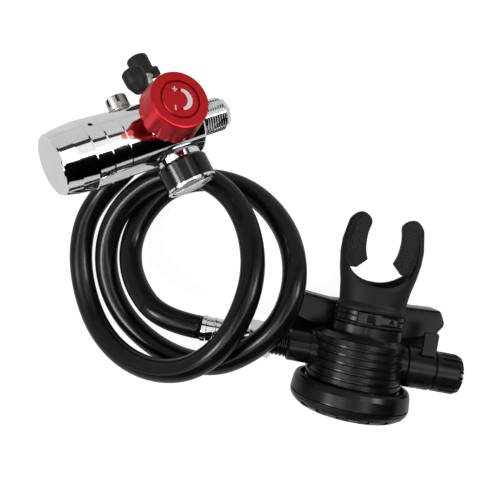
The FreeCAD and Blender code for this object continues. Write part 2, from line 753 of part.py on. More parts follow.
save("valve_plug", FIRST, on_valve(valve_plug()))
save("valve_spindle", FIRST, on_valve(valve_spindle()))
stem_seal = o_ring(GUIDE_START + GUIDE_LENGTH / 2, STEM_R + RUNNING + 0.6, 1.1)
spindle_seal = on_valve(o_ring(BONNET_FLAT + 2.0, SPINDLE_R + RUNNING + 0.6, 1.1))
save("shaft_o_rings", FIRST, stem_seal, spindle_seal)
save("bonnet", FIRST, on_valve(bonnet()))
save("valve_knob", FIRST, on_valve(valve_knob()))
save("knob_insert", FIRST, on_valve(knob_insert()))
save("knob_marks", FIRST, *[on_valve(mark) for mark in knob_marks()])

# Pressure gauge, pieces from the stem outwards
GAUGE_BACK = GAUGE_FACE - GAUGE_CASE_LENGTH
BOSS_START = BODY_R - 1.2
DIAL_SEAT = GAUGE_FACE - 4.6
NEEDLE_HEIGHT = DIAL_SEAT + DIAL_THICKNESS + 0.7


def gauge_boss():
    stem = rod(GAUGE_SEAT, BODY_R + 1.0, GAUGE_STEM_R)
    flare = turned([
        (BOSS_START, 0), (BOSS_START, GAUGE_BOSS_R), (GAUGE_BACK - 0.4, GAUGE_BOSS_R),
        (GAUGE_BACK, GAUGE_BOSS_R - 0.4), (GAUGE_BACK, 0),
    ])
    flare = flare.fuse(rod(GAUGE_BACK - 1, GAUGE_BACK + GAUGE_STUB, GAUGE_STUB_R))
    hub = Part.makeCylinder(BODY_R + RUNNING, 4 * GAUGE_R, Vector(0, -2 * GAUGE_R, 0), Y_AXIS)
    return flare.cut(hub).fuse(stem).cut(rod(GAUGE_SEAT - 1, GAUGE_FACE, GAUGE_FEED_R))


def gauge_case():
    return turned([
        (GAUGE_BACK, GAUGE_STUB_R), (GAUGE_BACK, GAUGE_R - 1.4), (GAUGE_BACK + 0.5, GAUGE_R - 0.5),
        (GAUGE_BACK + 1.4, GAUGE_R), (GAUGE_FACE - 1.6, GAUGE_R), (GAUGE_FACE - 1.6, GAUGE_R - GAUGE_WALL),
        (DIAL_SEAT, GAUGE_R - GAUGE_WALL), (DIAL_SEAT, GAUGE_R - 3.4),
        (GAUGE_BACK + GAUGE_STUB, GAUGE_R - 3.4),
        (GAUGE_BACK + GAUGE_STUB, GAUGE_STUB_R),
    ])


def gauge_bezel():
    return turned([
        (GAUGE_FACE - 1.6, GAUGE_R - GAUGE_WALL), (GAUGE_FACE - 1.6, GAUGE_R), (GAUGE_FACE - 0.5, GAUGE_R),
        (GAUGE_FACE, GAUGE_R - 0.6), (GAUGE_FACE, GAUGE_R - BEZEL_WIDTH - 0.4),
        (GAUGE_FACE - 0.5, GAUGE_R - GAUGE_WALL),
    ])


def gauge_lens():
    lens_r = GAUGE_R - GAUGE_WALL - 0.05
    return turned([
        (GAUGE_FACE - 0.6 - LENS_THICKNESS, 0), (GAUGE_FACE - 0.6 - LENS_THICKNESS, lens_r),
        (GAUGE_FACE - 0.6, lens_r), (GAUGE_FACE - 0.1, lens_r - 1.4), (GAUGE_FACE + 0.2, lens_r * 0.5),
        (GAUGE_FACE + 0.3, 0),
    ])


def gauge_needle():
    shaft = rod(DIAL_SEAT - 2.0, NEEDLE_HEIGHT + 0.5, NEEDLE_SHAFT_R)
    boss = rod(NEEDLE_HEIGHT - 0.2, NEEDLE_HEIGHT + 0.6, 1.6)
    pointer = Part.Face(Part.makePolygon([
        Vector(NEEDLE_HEIGHT, -NEEDLE_WIDTH, -3.0), Vector(NEEDLE_HEIGHT, NEEDLE_WIDTH, -3.0),
        Vector(NEEDLE_HEIGHT, 0.25, NEEDLE_LENGTH), Vector(NEEDLE_HEIGHT, -0.25, NEEDLE_LENGTH),
        Vector(NEEDLE_HEIGHT, -NEEDLE_WIDTH, -3.0),
    ])).extrude(Vector(0.4, 0, 0))
    pointer.rotate(Vector(0, 0, 0), X_AXIS, NEEDLE_REST_DEG)
    return shaft.fuse(boss).fuse(pointer)


def gauge_movement():
    """The small frame behind the dial that carries the needle shaft."""
    frame = rod(GAUGE_BACK + GAUGE_STUB, DIAL_SEAT - 0.05, GAUGE_R - 5.0)
    return frame.cut(rod(DIAL_SEAT - 2.6, DIAL_SEAT, NEEDLE_SHAFT_R + RUNNING))


save("gauge_boss", FIRST, on_gauge(gauge_boss()))
save("gauge_case", FIRST, on_gauge(gauge_case()))
dial = sleeve(DIAL_SEAT, DIAL_SEAT + DIAL_THICKNESS, GAUGE_R - GAUGE_WALL - 0.05, NEEDLE_SHAFT_R + 0.1)
save("gauge_dial", FIRST, on_gauge(dial))
save("gauge_movement", FIRST, on_gauge(gauge_movement()))
save("gauge_needle", FIRST, on_gauge(gauge_needle()))
save("gauge_lens", FIRST, on_gauge(gauge_lens()))
save("gauge_bezel", FIRST, on_gauge(gauge_bezel()))


# Filling nipple, dust cap and safety plug
NIPPLE_NECK_R = 2.7
CAP_MOUTH = NIPPLE_TIP - DUST_CAP_LENGTH + 3.0


def fill_nipple():
    blank = hexagon_bar(BODY_R - 0.6, BODY_R + 4.6, NIPPLE_HEX_AF)
    blank = blank.fuse(rod(NIPPLE_SEAT, BODY_R, NIPPLE_R))
    blank = blank.fuse(turned([
        (BODY_R + 3, 0), (BODY_R + 3, NIPPLE_R), (BODY_R + 8, NIPPLE_R), (BODY_R + 9, NIPPLE_NECK_R),
        (BODY_R + 12, NIPPLE_NECK_R), (BODY_R + 13, NIPPLE_R), (NIPPLE_TIP - 3, NIPPLE_R),
        (NIPPLE_TIP, NIPPLE_R - 1.2), (NIPPLE_TIP, 0),
    ]))
    hub = Part.makeCylinder(BODY_R + RUNNING, 4 * NIPPLE_HEX_AF, Vector(0, -2 * NIPPLE_HEX_AF, 0), Y_AXIS)
    collar = blank.cut(hub).fuse(rod(NIPPLE_SEAT, BODY_R + 1, NIPPLE_R))
    return collar.cut(rod(NIPPLE_SEAT - 1, NIPPLE_TIP + 1, NIPPLE_BORE_R))


def nipple_valve():
    return turned([
        (NIPPLE_SEAT + 0.5, 0), (NIPPLE_SEAT + 0.5, NIPPLE_BORE_R - RUNNING),
        (NIPPLE_SEAT + 6, NIPPLE_BORE_R - RUNNING), (NIPPLE_SEAT + 6, NIPPLE_BORE_R / 2),
        (NIPPLE_TIP - 2, NIPPLE_BORE_R / 2), (NIPPLE_TIP - 2, 0),
    ])


def dust_cap():
    """A rubber cap on the nipple's tip, with the strap and pull lobe moulded to it."""
    crown = turned([
        (CAP_MOUTH, NIPPLE_R + RUNNING), (CAP_MOUTH, DUST_CAP_R - 0.3), (CAP_MOUTH + 1, DUST_CAP_R),
        (NIPPLE_TIP + 2.2, DUST_CAP_R), (NIPPLE_TIP + 3, DUST_CAP_R - 0.8), (NIPPLE_TIP + 3, 0),
        (NIPPLE_TIP + 0.6, 0), (NIPPLE_TIP + 0.6, NIPPLE_R + RUNNING),
    ])
    strap = Part.makeBox(STRAP_THICKNESS, LOBE_ACROSS + EAR_ACROSS, 6.0, Vector(CAP_MOUTH, -EAR_ACROSS, -2.0))
    lobe = turned([
        (0, 0), (0, LOBE_TIP_R - 1.2), (0.6, LOBE_TIP_R - 0.3), (LOBE_LENGTH * 0.4, LOBE_R - 0.2),
        (LOBE_LENGTH * 0.6, LOBE_R), (LOBE_LENGTH - 1.2, LOBE_R), (LOBE_LENGTH, LOBE_R - 1.2),
        (LOBE_LENGTH, 0),
    ])
    lobe.translate(Vector(LOBE_START, LOBE_ACROSS, LOBE_UP))
    ear = Part.makeCylinder(3.2, 4.2, Vector(CAP_MOUTH - 1.0, -EAR_ACROSS, 0), X_AXIS)
    cap = crown.fuse(strap).fuse(lobe).fuse(ear)
    return cap.cut(rod(CAP_MOUTH - 8, NIPPLE_TIP + 0.6, NIPPLE_R + RUNNING))


def burst_plug():
    plug = turned([
        (BURST_SEAT + BURST_DISC + SEAT_GAP, 0), (BURST_SEAT + BURST_DISC + SEAT_GAP, BURST_THREAD_R),
        (BODY_R + 0.6, BURST_THREAD_R),
        (BODY_R + 0.6, BURST_R), (BURST_TOP - 0.5, BURST_R), (BURST_TOP, BURST_R - 0.5), (BURST_TOP, 0),
    ])
    bore = rod(BURST_SEAT, BURST_TOP - 2.5, 2.2)
    slot = Part.makeBox(4.0, BURST_R * 2, 1.6, Vector(BURST_TOP - 4.2, 0, -0.8))
    plug = plug.cut(bore)
    for cutter in ring_of(slot, BURST_SLOTS, X_AXIS, first_deg=15):
        plug = plug.cut(cutter)
    return plug


save("fill_nipple", FIRST, on_nipple(fill_nipple()))
save("nipple_valve", FIRST, on_nipple(nipple_valve()))
save("dust_cap", FIRST, on_nipple(dust_cap()))
save("burst_plug", FIRST, on_burst(burst_plug()))
save("burst_disc", FIRST, on_burst(rod(BURST_SEAT, BURST_SEAT + BURST_DISC, BURST_THREAD_R)))


# Hose ends. The first runs down out of the first stage, the second along the valve tube
FERRULE_START = BODY_R + FITTING_NECK
FERRULE_END = FERRULE_START + FERRULE_LENGTH
NUT_END = STUB_END - NUT_LENGTH
SECOND_NECK_END = NUT_END - NECK_LENGTH
SECOND_FERRULE_END = SECOND_NECK_END - FERRULE_LENGTH


def ferrule(start):
    """A crimped cup with pressed bands, closed at the fitting's neck."""
    outline = [(start, NECK_TUBE_R - 1.0), (start, FERRULE_R - 0.8), (start + 0.8, FERRULE_R)]
    band = (FERRULE_LENGTH - 4.0) / FERRULE_CRIMPS
    for i in range(FERRULE_CRIMPS):
        begin = start + 2.4 + i * band
        outline += [(begin, FERRULE_R), (begin + 0.5, FERRULE_R - 0.5), (begin + band - 1.3, FERRULE_R - 0.5),
                    (begin + band - 0.8, FERRULE_R)]
    end = start + FERRULE_LENGTH
    outline += [(end, FERRULE_R), (end, HOSE_OD / 2 + 0.02), (start + 1.5, HOSE_OD / 2 + 0.02),
                (start + 1.5, NECK_TUBE_R - 1.0)]
    return turned(outline)


def first_fitting():
    bore = FITTING_BORE_R
    return turned([
        (-PORT_FLOOR + 0.3, bore), (-PORT_FLOOR + 0.3, PORT_THREAD_R), (BODY_R + 0.4, PORT_THREAD_R),
        (BODY_R + 0.4, PORT_THREAD_R + 1.6), (FERRULE_START - 0.05, PORT_THREAD_R + 1.6),
        (FERRULE_START - 0.05, NECK_TUBE_R - 1.05), (FERRULE_START + 1.6, NECK_TUBE_R - 1.05),
        (FERRULE_START + 1.6, HOSE_ID / 2 - 0.05), (FERRULE_START + BARB_LENGTH, HOSE_ID / 2 - 0.05),
        (FERRULE_START + BARB_LENGTH, bore),
    ])


def second_fitting():
    bore = FITTING_BORE_R
    start = -SECOND_NECK_END
    flange = -STUB_END + 2.6
    return turned([
        (flange - 2.4, bore), (flange - 2.4, TUBE_BORE_R), (flange, TUBE_BORE_R + 1.2),
        (flange + 1.4, TUBE_BORE_R + 1.2), (flange + 1.4, NECK_TUBE_R),
        (start - 0.05, NECK_TUBE_R), (start - 0.05, NECK_TUBE_R - 1.05),
        (start + 1.6, NECK_TUBE_R - 1.05), (start + 1.6, HOSE_ID / 2 - 0.05),
        (start + BARB_LENGTH, HOSE_ID / 2 - 0.05), (start + BARB_LENGTH, bore),
    ])


def swivel_nut():
    blank = hexagon_bar(-STUB_END - 2.0, -NUT_END, NUT_AF)
    cutter = turned([
        (-STUB_END - 3.0, 0), (-STUB_END - 3.0, STUB_R + RUNNING), (-STUB_END + 4.15, STUB_R + RUNNING),
        (-STUB_END + 4.15, NECK_TUBE_R + RUNNING), (-NUT_END + 1, NECK_TUBE_R + RUNNING), (-NUT_END + 1, 0),
    ])
    return blank.cut(cutter)


HOSE_START = FIRST.multVec(Vector(PORT_STATION, 0, -FERRULE_END))
HOSE_DOWN = FIRST.multVec(Vector(PORT_STATION, 0, -FERRULE_END - EXIT_RUN))
HOSE_IN = SECOND.multVec(Vector(SECOND_FERRULE_END - ENTRY_RUN, 0, 0))
HOSE_END = SECOND.multVec(Vector(SECOND_FERRULE_END, 0, 0))
HOSE_POINTS = [
    (-94.7, 27.9, 8), (-104.7, 12.4, 6.6), (-107.7, -8.6, 6.6), (-104.2, -30.6, 8), (-94.7, -50.6, 14),
    (-79.2, -64.6, 24), (-59.7, -70.6, 36), (-39.7, -67.6, 49), (-22.2, -55.1, 58),
    (-10.7, -35.6, 59.5), (-5.2, -13.6, 53), (-8.7, 9.4, 44), (-20.2, 28.4, 35), (-40.7, 39.4, 28),
    (-61.2, 36.4, 21), (-78.7, 22.4, 14.5), (-89.7, 3.9, 8.5), (-91.2, -18.6, 6.6), (-83.2, -40.6, 6.6),
    (-66.7, -57.6, 12), (-46.2, -66.6, 23), (-26.2, -67.1, 36.5), (-8.7, -58.1, 49.5), (7.8, -43.6, 57),
    (15.8, -23.6, 55.5), (15.3, -2.1, 43.5), (5.8, 16.9, 29.5), (-10.2, 30.9, 17.5), (-31.2, 37.4, 8.5),
    (-53.2, 32.9, 6.6), (-69, 15.9, 6.6), (-76.2, -4.6, 9.5), (-71.2, -25.1, 21.5),
]
HOSE_ROUTE = [HOSE_START, HOSE_DOWN] + [Vector(*point) for point in HOSE_POINTS] + [HOSE_IN, HOSE_END]


def hose_path(points):
    """Straight runs joined by arcs that use the same share of the shorter run at each point."""
    edges = []
    radii = []
    last = points[0]
    for before, here, after in zip(points, points[1:], points[2:]):
        back = before.sub(here)
        ahead = after.sub(here)
        reach = ARC_SHARE * min(back.Length, ahead.Length)
        turn = math.pi - back.getAngle(ahead)
        radius = reach / math.tan(turn / 2)
        radii.append(radius)
        start = here + back.normalize() * reach
        end = here + ahead.normalize() * reach
        inward = (back + ahead).normalize()
        middle = here + inward * (radius / math.cos(turn / 2) - radius)
        edges.append(Part.LineSegment(last, start).toShape())
        edges.append(Part.Arc(start, middle, end).toShape())
        last = end
    edges.append(Part.LineSegment(last, points[-1]).toShape())
    return Part.Wire(edges), radii


def hose_tube(path, diameter):
    start = path.Edges[0]
    circle = Part.makeCircle(diameter / 2, HOSE_START, start.tangentAt(start.FirstParameter))
    return path.makePipeShell([Part.Wire([circle])], True, False)


path, radii = hose_path(HOSE_ROUTE)
hose = hose_tube(path, HOSE_OD).cut(hose_tube(path, HOSE_ID))
section = math.pi * (HOSE_OD ** 2 - HOSE_ID ** 2) / 4
print("hose length", round(path.Length, 1), "tightest bend", round(min(radii), 1))
print("hose bends", [round(radius, 1) for radius in radii])
print("hose volume", round(hose.Volume, 1), "section times length", round(section * path.Length, 1))
save("hose", Placement(), hose)
save("hose_fitting_first", FIRST, on_port(first_fitting()))
save("ferrule_first", FIRST, on_port(ferrule(FERRULE_START)))
save("hose_fitting_second", SECOND, on_inlet(second_fitting()))
save("ferrule_second", SECOND, on_inlet(ferrule(-SECOND_NECK_END)))
save("swivel_nut", SECOND, on_inlet(swivel_nut()))


# Second stage case
FLANGE_FRONT = RING_FRONT + 1.0
FLANGE_BACK = FLANGE_FRONT + FLANGE_THICKNESS


def floor_at(forward):
    """Height of the ground under the second stage, in its own tilted frame."""
    tilt = math.radians(SECOND_TILT)
    return -(SECOND_CENTRE.z - SEAT_GAP + forward * math.sin(tilt)) / math.cos(tilt)


def case_outline(gap=0.0):
    """Flange, stepped ribs and back of the case, as (forward, radius) points."""
    points = [(FLANGE_FRONT, FLANGE_R + gap), (FLANGE_BACK, FLANGE_R + gap)]
    pitch = (CASE_BACK - FLANGE_BACK) / CASE_RIBS
    for i in range(CASE_RIBS):
        start = FLANGE_BACK + i * pitch
        share = i / CASE_RIBS
        radius = CASE_FRONT_R + (CASE_BACK_R - CASE_FRONT_R) * share + gap
        points += [(start, radius - CASE_RIB_HEIGHT), (start + 0.2 * pitch, radius - CASE_RIB_HEIGHT),
                   (start + 0.3 * pitch, radius), (start + 0.9 * pitch, radius - 0.2)]
    points += [(CASE_BACK, CASE_BACK_R - 1.0 + gap), (CASE_BACK + 1.8, CASE_BACK_R - 4.0 + gap)]
    return points


def at_outlet(low, height, radius):
    """An upright round piece in line with the outlet under the case."""
    return Part.makeCylinder(radius, height, Vector(0, OUTLET_SEAT_FORWARD, low), Z_AXIS)


def case():
    outline = case_outline()
    body = on_mouth(turned([(FLANGE_FRONT, 0)] + outline + [(CASE_BACK + 1.8, 0)]))
    body = body.fuse(rod(SOCKET_LEFT, SOCKET_RIGHT, SOCKET_R))
    body = body.fuse(at_outlet(-OUTLET_SEAT_DROP, 10, OUTLET_SEAT_R))
    body = body.fuse(at_mouth(oval_bar(CASE_BACK - 2, COLLAR_END, COLLAR_HALF_WIDTH, COLLAR_HALF_HEIGHT)))
    body = body.fuse(at_mouth(oval_bar(COLLAR_END - 1, MOUTH_END, MOUTH_HALF_WIDTH, MOUTH_HALF_HEIGHT)))
    cavity = on_mouth(turned([
        (FLANGE_FRONT - 1, 0), (FLANGE_FRONT - 1, CASE_OPENING_R), (FLANGE_BACK + 1.5, CASE_OPENING_R),
        (CASE_BACK - 1.5, CASE_BACK_R - CASE_RIB_HEIGHT - CASE_WALL), (CASE_BACK, CASE_BACK_R - 5.0),
        (CASE_BACK, 0),
    ]))
    inner_end = PIVOT_ALONG + BRACKET_LENGTH / 2 + SEAT_GAP
    bearing_r = SOCKET_R - 1.4
    bearings = rod(-CASE_FRONT_R, -inner_end, bearing_r).fuse(rod(inner_end, CASE_FRONT_R, bearing_r))
    body = body.cut(cavity.cut(bearings))
    body = body.cut(rod(SOCKET_LEFT - 1, SOCKET_RIGHT + 1, TUBE_R + SEAT_GAP))
    bore_width = MOUTH_HALF_WIDTH - MOUTH_WALL
    bore_height = MOUTH_HALF_HEIGHT - MOUTH_WALL
    body = body.cut(at_mouth(oval_bar(CASE_BACK - 1, MOUTH_END + 1, bore_width, bore_height)))
    outlet = at_outlet(-OUTLET_SEAT_DROP - 0.5, 10, OUTLET_SEAT_R - 3)
    hub = at_outlet(-OUTLET_SEAT_DROP, 2.5, 2.4)
    span = 2 * OUTLET_SEAT_R
    middle = Vector(0, OUTLET_SEAT_FORWARD, 0)
    bar = Part.makeBox(span, 1.6, 2.0, middle + Vector(-span / 2, -0.8, -OUTLET_SEAT_DROP + 0.3))
    cross = bar.copy()
    cross.rotate(middle, Z_AXIS, 90)
    body = body.cut(outlet.cut(hub).cut(bar).cut(cross))
    return body.cut(at_outlet(-OUTLET_SEAT_DROP - 1, 12, EXHAUST_STEM_R + SEAT_GAP))


def case_ring():
    lip = FLANGE_BACK + SEAT_GAP
    lip_r = CASE_FRONT_R + 4 * SEAT_GAP
    return on_mouth(turned([
        (RING_FRONT, FLANGE_R + SEAT_GAP), (RING_FRONT, RING_R),
        (RING_FRONT + RING_LENGTH * 0.6, RING_R - 0.5),
        (RING_FRONT + RING_LENGTH - 1.0, RING_BACK_R), (RING_FRONT + RING_LENGTH, RING_BACK_R - 0.8),
        (RING_FRONT + RING_LENGTH, RING_BACK_R - RING_WALL), (lip + 1.6, RING_BACK_R - RING_WALL),
        (lip + 1.6, lip_r), (lip, lip_r), (lip, FLANGE_R + SEAT_GAP),
    ]))


COVER_FRONT = RING_FRONT - COVER_DEPTH
BUTTON_SEAT = COVER_FRONT + COVER_WALL + 0.1
SPIDER = RING_FRONT - 0.6
MEMBRANE = RING_FRONT + 0.1
PLATE_FRONT = MEMBRANE + DIAPHRAGM_THICKNESS


def front_cover():
    """A dished cover whose rounded rim carries half-round scallops and whose face has water holes."""
    button_hole_r = BUTTON_R + 2 * RUNNING
    shell = turned([
        (COVER_FRONT + 0.4, button_hole_r), (COVER_FRONT, BUTTON_R + 0.8), (COVER_FRONT, COVER_FACE_R - 2.0),
        (COVER_FRONT + 0.8, COVER_FACE_R), (COVER_FRONT + 2.6, RING_R - 2.2),
        (COVER_FRONT + 5.0, RING_R - 0.5),
        (RING_FRONT - 1.0, RING_R), (RING_FRONT - 0.7, RING_R - 0.7), (RING_FRONT, RING_R - 0.7),
        (RING_FRONT, FLANGE_R - 2.6),
        (COVER_FRONT + 4.2, RING_R - 4.4), (COVER_FRONT + COVER_WALL, COVER_FACE_R - 2.2),
        (COVER_FRONT + COVER_WALL, button_hole_r),
    ])
    spider = sleeve(SPIDER - 1.4, SPIDER - 0.2, BUTTON_STEM_R + 3.0, BUTTON_STEM_R + RUNNING)
    for i in range(3):
        bar = Part.makeBox(1.2, 2.4, FLANGE_R - 5.2, Vector(SPIDER - 1.4, -1.2, BUTTON_STEM_R + 1.6))
        bar.rotate(Vector(0, 0, 0), X_AXIS, 120 * i)
        spider = spider.fuse(bar)
    rim = turned([
        (SPIDER - 1.4, FLANGE_R - 5.6), (SPIDER - 1.4, FLANGE_R - 2.0), (RING_FRONT, FLANGE_R - 2.0),
        (RING_FRONT, FLANGE_R - 5.6),
    ])
    cover = shell.fuse(spider).fuse(rim)
    hole = rod(COVER_FRONT - 1, COVER_FRONT + COVER_WALL + 1, COVER_HOLE_R)
    hole.translate(Vector(0, 0, (BUTTON_R + COVER_FACE_R) / 2))
    for cutter in ring_of(hole, COVER_HOLES, X_AXIS, first_deg=15):
        cover = cover.cut(cutter)
    bevel_middle = Vector(COVER_FRONT + 1.7, 0, (COVER_FACE_R + RING_R) / 2 - 1.4)
    outwards = Vector(-1, 0, 1).normalize()
    scallop_foot = bevel_middle - outwards * COVER_SCALLOP_DEPTH
    scallop = Part.makeCylinder(COVER_SCALLOP_R, COVER_DEPTH, scallop_foot, outwards)
    for cutter in ring_of(scallop, COVER_SCALLOPS, X_AXIS, first_deg=COVER_SCALLOP_FIRST_DEG):
        cover = cover.cut(cutter)
    return on_mouth(cover)


def purge_button():
    return on_mouth(turned([
        (COVER_FRONT - BUTTON_PROUD, 0), (COVER_FRONT - BUTTON_PROUD, BUTTON_R - 1.4),
        (COVER_FRONT - BUTTON_PROUD + 0.8, BUTTON_R), (BUTTON_SEAT, BUTTON_R),
        (BUTTON_SEAT, BUTTON_R + BUTTON_FLANGE), (BUTTON_SEAT + 0.8, BUTTON_R + BUTTON_FLANGE),
        (BUTTON_SEAT + 0.8, BUTTON_STEM_R),
        (PLATE_FRONT - 0.1, BUTTON_STEM_R), (PLATE_FRONT - 0.1, 0),
    ]))


def purge_spring():
    radius = BUTTON_STEM_R + 1.6
    start = BUTTON_SEAT + 0.8
    spring = spring_between(start, SPIDER - 1.4, radius, BUTTON_SPRING_WIRE_R, BUTTON_SPRING_TURNS)
    return on_mouth(spring)


def diaphragm():
    """A thin rubber disc with a rim bead and one fold, open in the middle for its plate."""
    back = MEMBRANE + DIAPHRAGM_THICKNESS
    return on_mouth(turned([
        (MEMBRANE, PLATE_R - 2.0), (MEMBRANE, FLANGE_R - 0.1), (FLANGE_FRONT - 0.05, FLANGE_R - 0.1),
        (FLANGE_FRONT - 0.05, FLANGE_R - 2.2), (back, FLANGE_R - 2.2), (back, CASE_OPENING_R - 0.8),
        (back + 1.2, CASE_OPENING_R - 2.9), (back, CASE_OPENING_R - 5.4), (back, PLATE_R - 2.0),
    ]))


def diaphragm_plate():
    back = PLATE_FRONT + PLATE_THICKNESS
    return on_mouth(turned([
        (PLATE_FRONT + 0.02, 0), (PLATE_FRONT + 0.02, PLATE_R), (back, PLATE_R), (back, 0),
    ]))


save("case", SECOND, case())
save("case_ring", SECOND, case_ring())
save("front_cover", SECOND, front_cover())
save("purge_button", SECOND, purge_button())
save("purge_spring", SECOND, purge_spring())
save("diaphragm", SECOND, diaphragm())
save("diaphragm_plate", SECOND, diaphragm_plate())


# Valve tube and what it carries
POPPET_END = ORIFICE_FACE + POPPET_LENGTH
SPRING_END = POPPET_END + POPPET_SPRING_LENGTH
LEVER_SLOT_START = -6.0
LEVER_SLOT_LENGTH = 9.0
FOOT_ALONG = -1.8
FOOT_END = -5.2
WAIST_START = -5.0
WAIST_R = 1.8


def valve_tube():
    """A metal tube with the ridged inlet stub, an opening for the lever and gas holes."""
    outline = [(STUB_END, TUBE_BORE_R), (STUB_END, STUB_R - 0.8)]
    pitch = (INLET_COLLAR_END - STUB_END) / STUB_RIDGES
    for i in range(STUB_RIDGES):
        start = STUB_END + i * pitch
        outline += [(start + 0.15 * pitch, STUB_R - 0.7), (start + 0.4 * pitch, STUB_R),
                    (start + 0.7 * pitch, STUB_R), (start + 0.95 * pitch, STUB_R - 0.7)]
    outline += [(INLET_COLLAR_END, STUB_R - 0.7), (INLET_COLLAR_END, TUBE_R),
                (SOCKET_RIGHT + TUBE_BEYOND, TUBE_R), (SOCKET_RIGHT + TUBE_BEYOND, TUBE_BORE_R)]
    tube = turned(outline)
    corner = Vector(LEVER_SLOT_START, -TUBE_R - 1, -TUBE_R)
    window = Part.makeBox(LEVER_SLOT_LENGTH, TUBE_R - 1, 2 * TUBE_R, corner)
    tube = tube.cut(window)
    outlet = Part.makeCylinder(2.2, TUBE_R + 1, Vector(LEVER_SLOT_START + 4, 0, 0), Y_AXIS)
    return tube.cut(outlet)


def valve_orifice():
    return turned([
        (STUB_END + 5.0, 2.0), (STUB_END + 5.0, TUBE_BORE_R - 0.02), (ORIFICE_FACE - 3.0, TUBE_BORE_R - 0.02),
        (ORIFICE_FACE - 3.0, 3.4), (ORIFICE_FACE - 0.1, 2.5), (ORIFICE_FACE - 0.1, 2.0),
    ])


def poppet():
    """Seat carrier whose waist takes the lever's foot and whose tail guides the spring."""
    slide_r = TUBE_BORE_R - RUNNING
    tail_r = POPPET_SPRING_R - POPPET_SPRING_WIRE_R - 0.2
    waist_end = FOOT_ALONG + LEVER_WIRE_R + SEAT_GAP
    return turned([
        (ORIFICE_FACE, 0), (ORIFICE_FACE, slide_r - 0.8), (ORIFICE_FACE + 1.0, slide_r),
        (WAIST_START, slide_r), (WAIST_START, WAIST_R), (waist_end, WAIST_R), (waist_end, slide_r),
        (POPPET_END, slide_r),
        (POPPET_END, tail_r), (POPPET_END + 5.0, tail_r), (POPPET_END + 5.0, 0),
    ])


def poppet_spring():
    return spring_between(POPPET_END, SPRING_END, POPPET_SPRING_R, POPPET_SPRING_WIRE_R, POPPET_SPRING_TURNS)


def inlet_collar():
    outline = [(INLET_COLLAR_END, TUBE_R + SEAT_GAP), (INLET_COLLAR_END, INLET_COLLAR_R - 1.0),
               (INLET_COLLAR_END + 1.0, INLET_COLLAR_R), (SOCKET_LEFT - 0.05, INLET_COLLAR_R),
               (SOCKET_LEFT - 0.05, TUBE_R + SEAT_GAP)]
    return turned(outline)


def adjust_barrel():
    start = SOCKET_RIGHT + 0.05
    seat = SOCKET_RIGHT + TUBE_BEYOND + SEAT_GAP
    step = LEVER_RING_START - SEAT_GAP
    return turned([
        (start, TUBE_R + SEAT_GAP), (start, BARREL_R - 0.8), (start + 0.8, BARREL_R), (step, BARREL_R),
        (step, BARREL_STEP_R), (BARREL_END, BARREL_STEP_R), (BARREL_END, ADJUST_SPINDLE_R + RUNNING),
        (seat + 3.0, ADJUST_SPINDLE_R + RUNNING), (seat + 3.0, TUBE_BORE_R), (seat, TUBE_BORE_R),
        (seat, TUBE_R + SEAT_GAP),
    ])


def adjust_spindle():
    return turned([
        (SPRING_END + 0.05, 0), (SPRING_END + 0.05, TUBE_BORE_R - RUNNING),
        (SPRING_END + 3.0, TUBE_BORE_R - RUNNING), (SPRING_END + 3.0, ADJUST_SPINDLE_R),
        (ADJUST_KNOB_END - 5.0, ADJUST_SPINDLE_R), (ADJUST_KNOB_END - 5.0, 0),
    ])


def adjust_knob():
    start = BARREL_END + SEAT_GAP
    knob = turned([
        (start, ADJUST_SPINDLE_R + RUNNING), (start, ADJUST_KNOB_R - 0.6), (start + 0.6, ADJUST_KNOB_R),
        (ADJUST_KNOB_END - 4.0, ADJUST_KNOB_R), (ADJUST_KNOB_END - 1.4, ADJUST_KNOB_R - 1.2),
        (ADJUST_KNOB_END, ADJUST_KNOB_R - 4.0), (ADJUST_KNOB_END, 0), (ADJUST_KNOB_END - 2.6, 0),
        (ADJUST_KNOB_END - 2.6, ADJUST_SPINDLE_R + RUNNING),
    ])
    floor = ADJUST_KNOB_R - ADJUST_FLUTE_DEPTH
    back = start + ADJUST_BAND
    run = ADJUST_KNOB_END - 1.2 - back
    flute = Part.makeBox(run, ADJUST_FLUTE_WIDTH, 3.0, Vector(back, -ADJUST_FLUTE_WIDTH / 2, floor))
    chamfer = Part.makeBox(6.0, ADJUST_FLUTE_WIDTH, 3.0, Vector(0, -ADJUST_FLUTE_WIDTH / 2, 0))
    chamfer.rotate(Vector(0, 0, 0), Y_AXIS, 60)
    chamfer.translate(Vector(ADJUST_KNOB_END - 2.6, 0, floor))
    flute = flute.fuse(chamfer)
    for cutter in ring_of(flute, ADJUST_FLUTES, X_AXIS, first_deg=180.0 / ADJUST_FLUTES):
        knob = knob.cut(cutter)
    return knob


def flow_lever():
    """A ring on the barrel with a flat tab that the diver's finger pushes."""
    start = LEVER_RING_START
    ring = sleeve(start, start + LEVER_RING_LENGTH, BARREL_R - 0.2, BARREL_STEP_R + RUNNING)
    reach = LEVER_TAB_REACH - LEVER_TAB_ROOT
    tab = Part.makeBox(LEVER_RING_LENGTH, reach, 3.4, Vector(start, LEVER_TAB_ROOT, BARREL_R - 5.2))
    tab = tab.makeFillet(1.2, [edge for edge in tab.Edges if edge.CenterOfMass.y > LEVER_TAB_REACH - 0.1])
    tab.rotate(Vector(start, 0, 0), X_AXIS, LEVER_TAB_TURN)
    return ring.fuse(tab.cut(rod(start - 1, start + LEVER_RING_LENGTH + 1, BARREL_R - 0.4)))


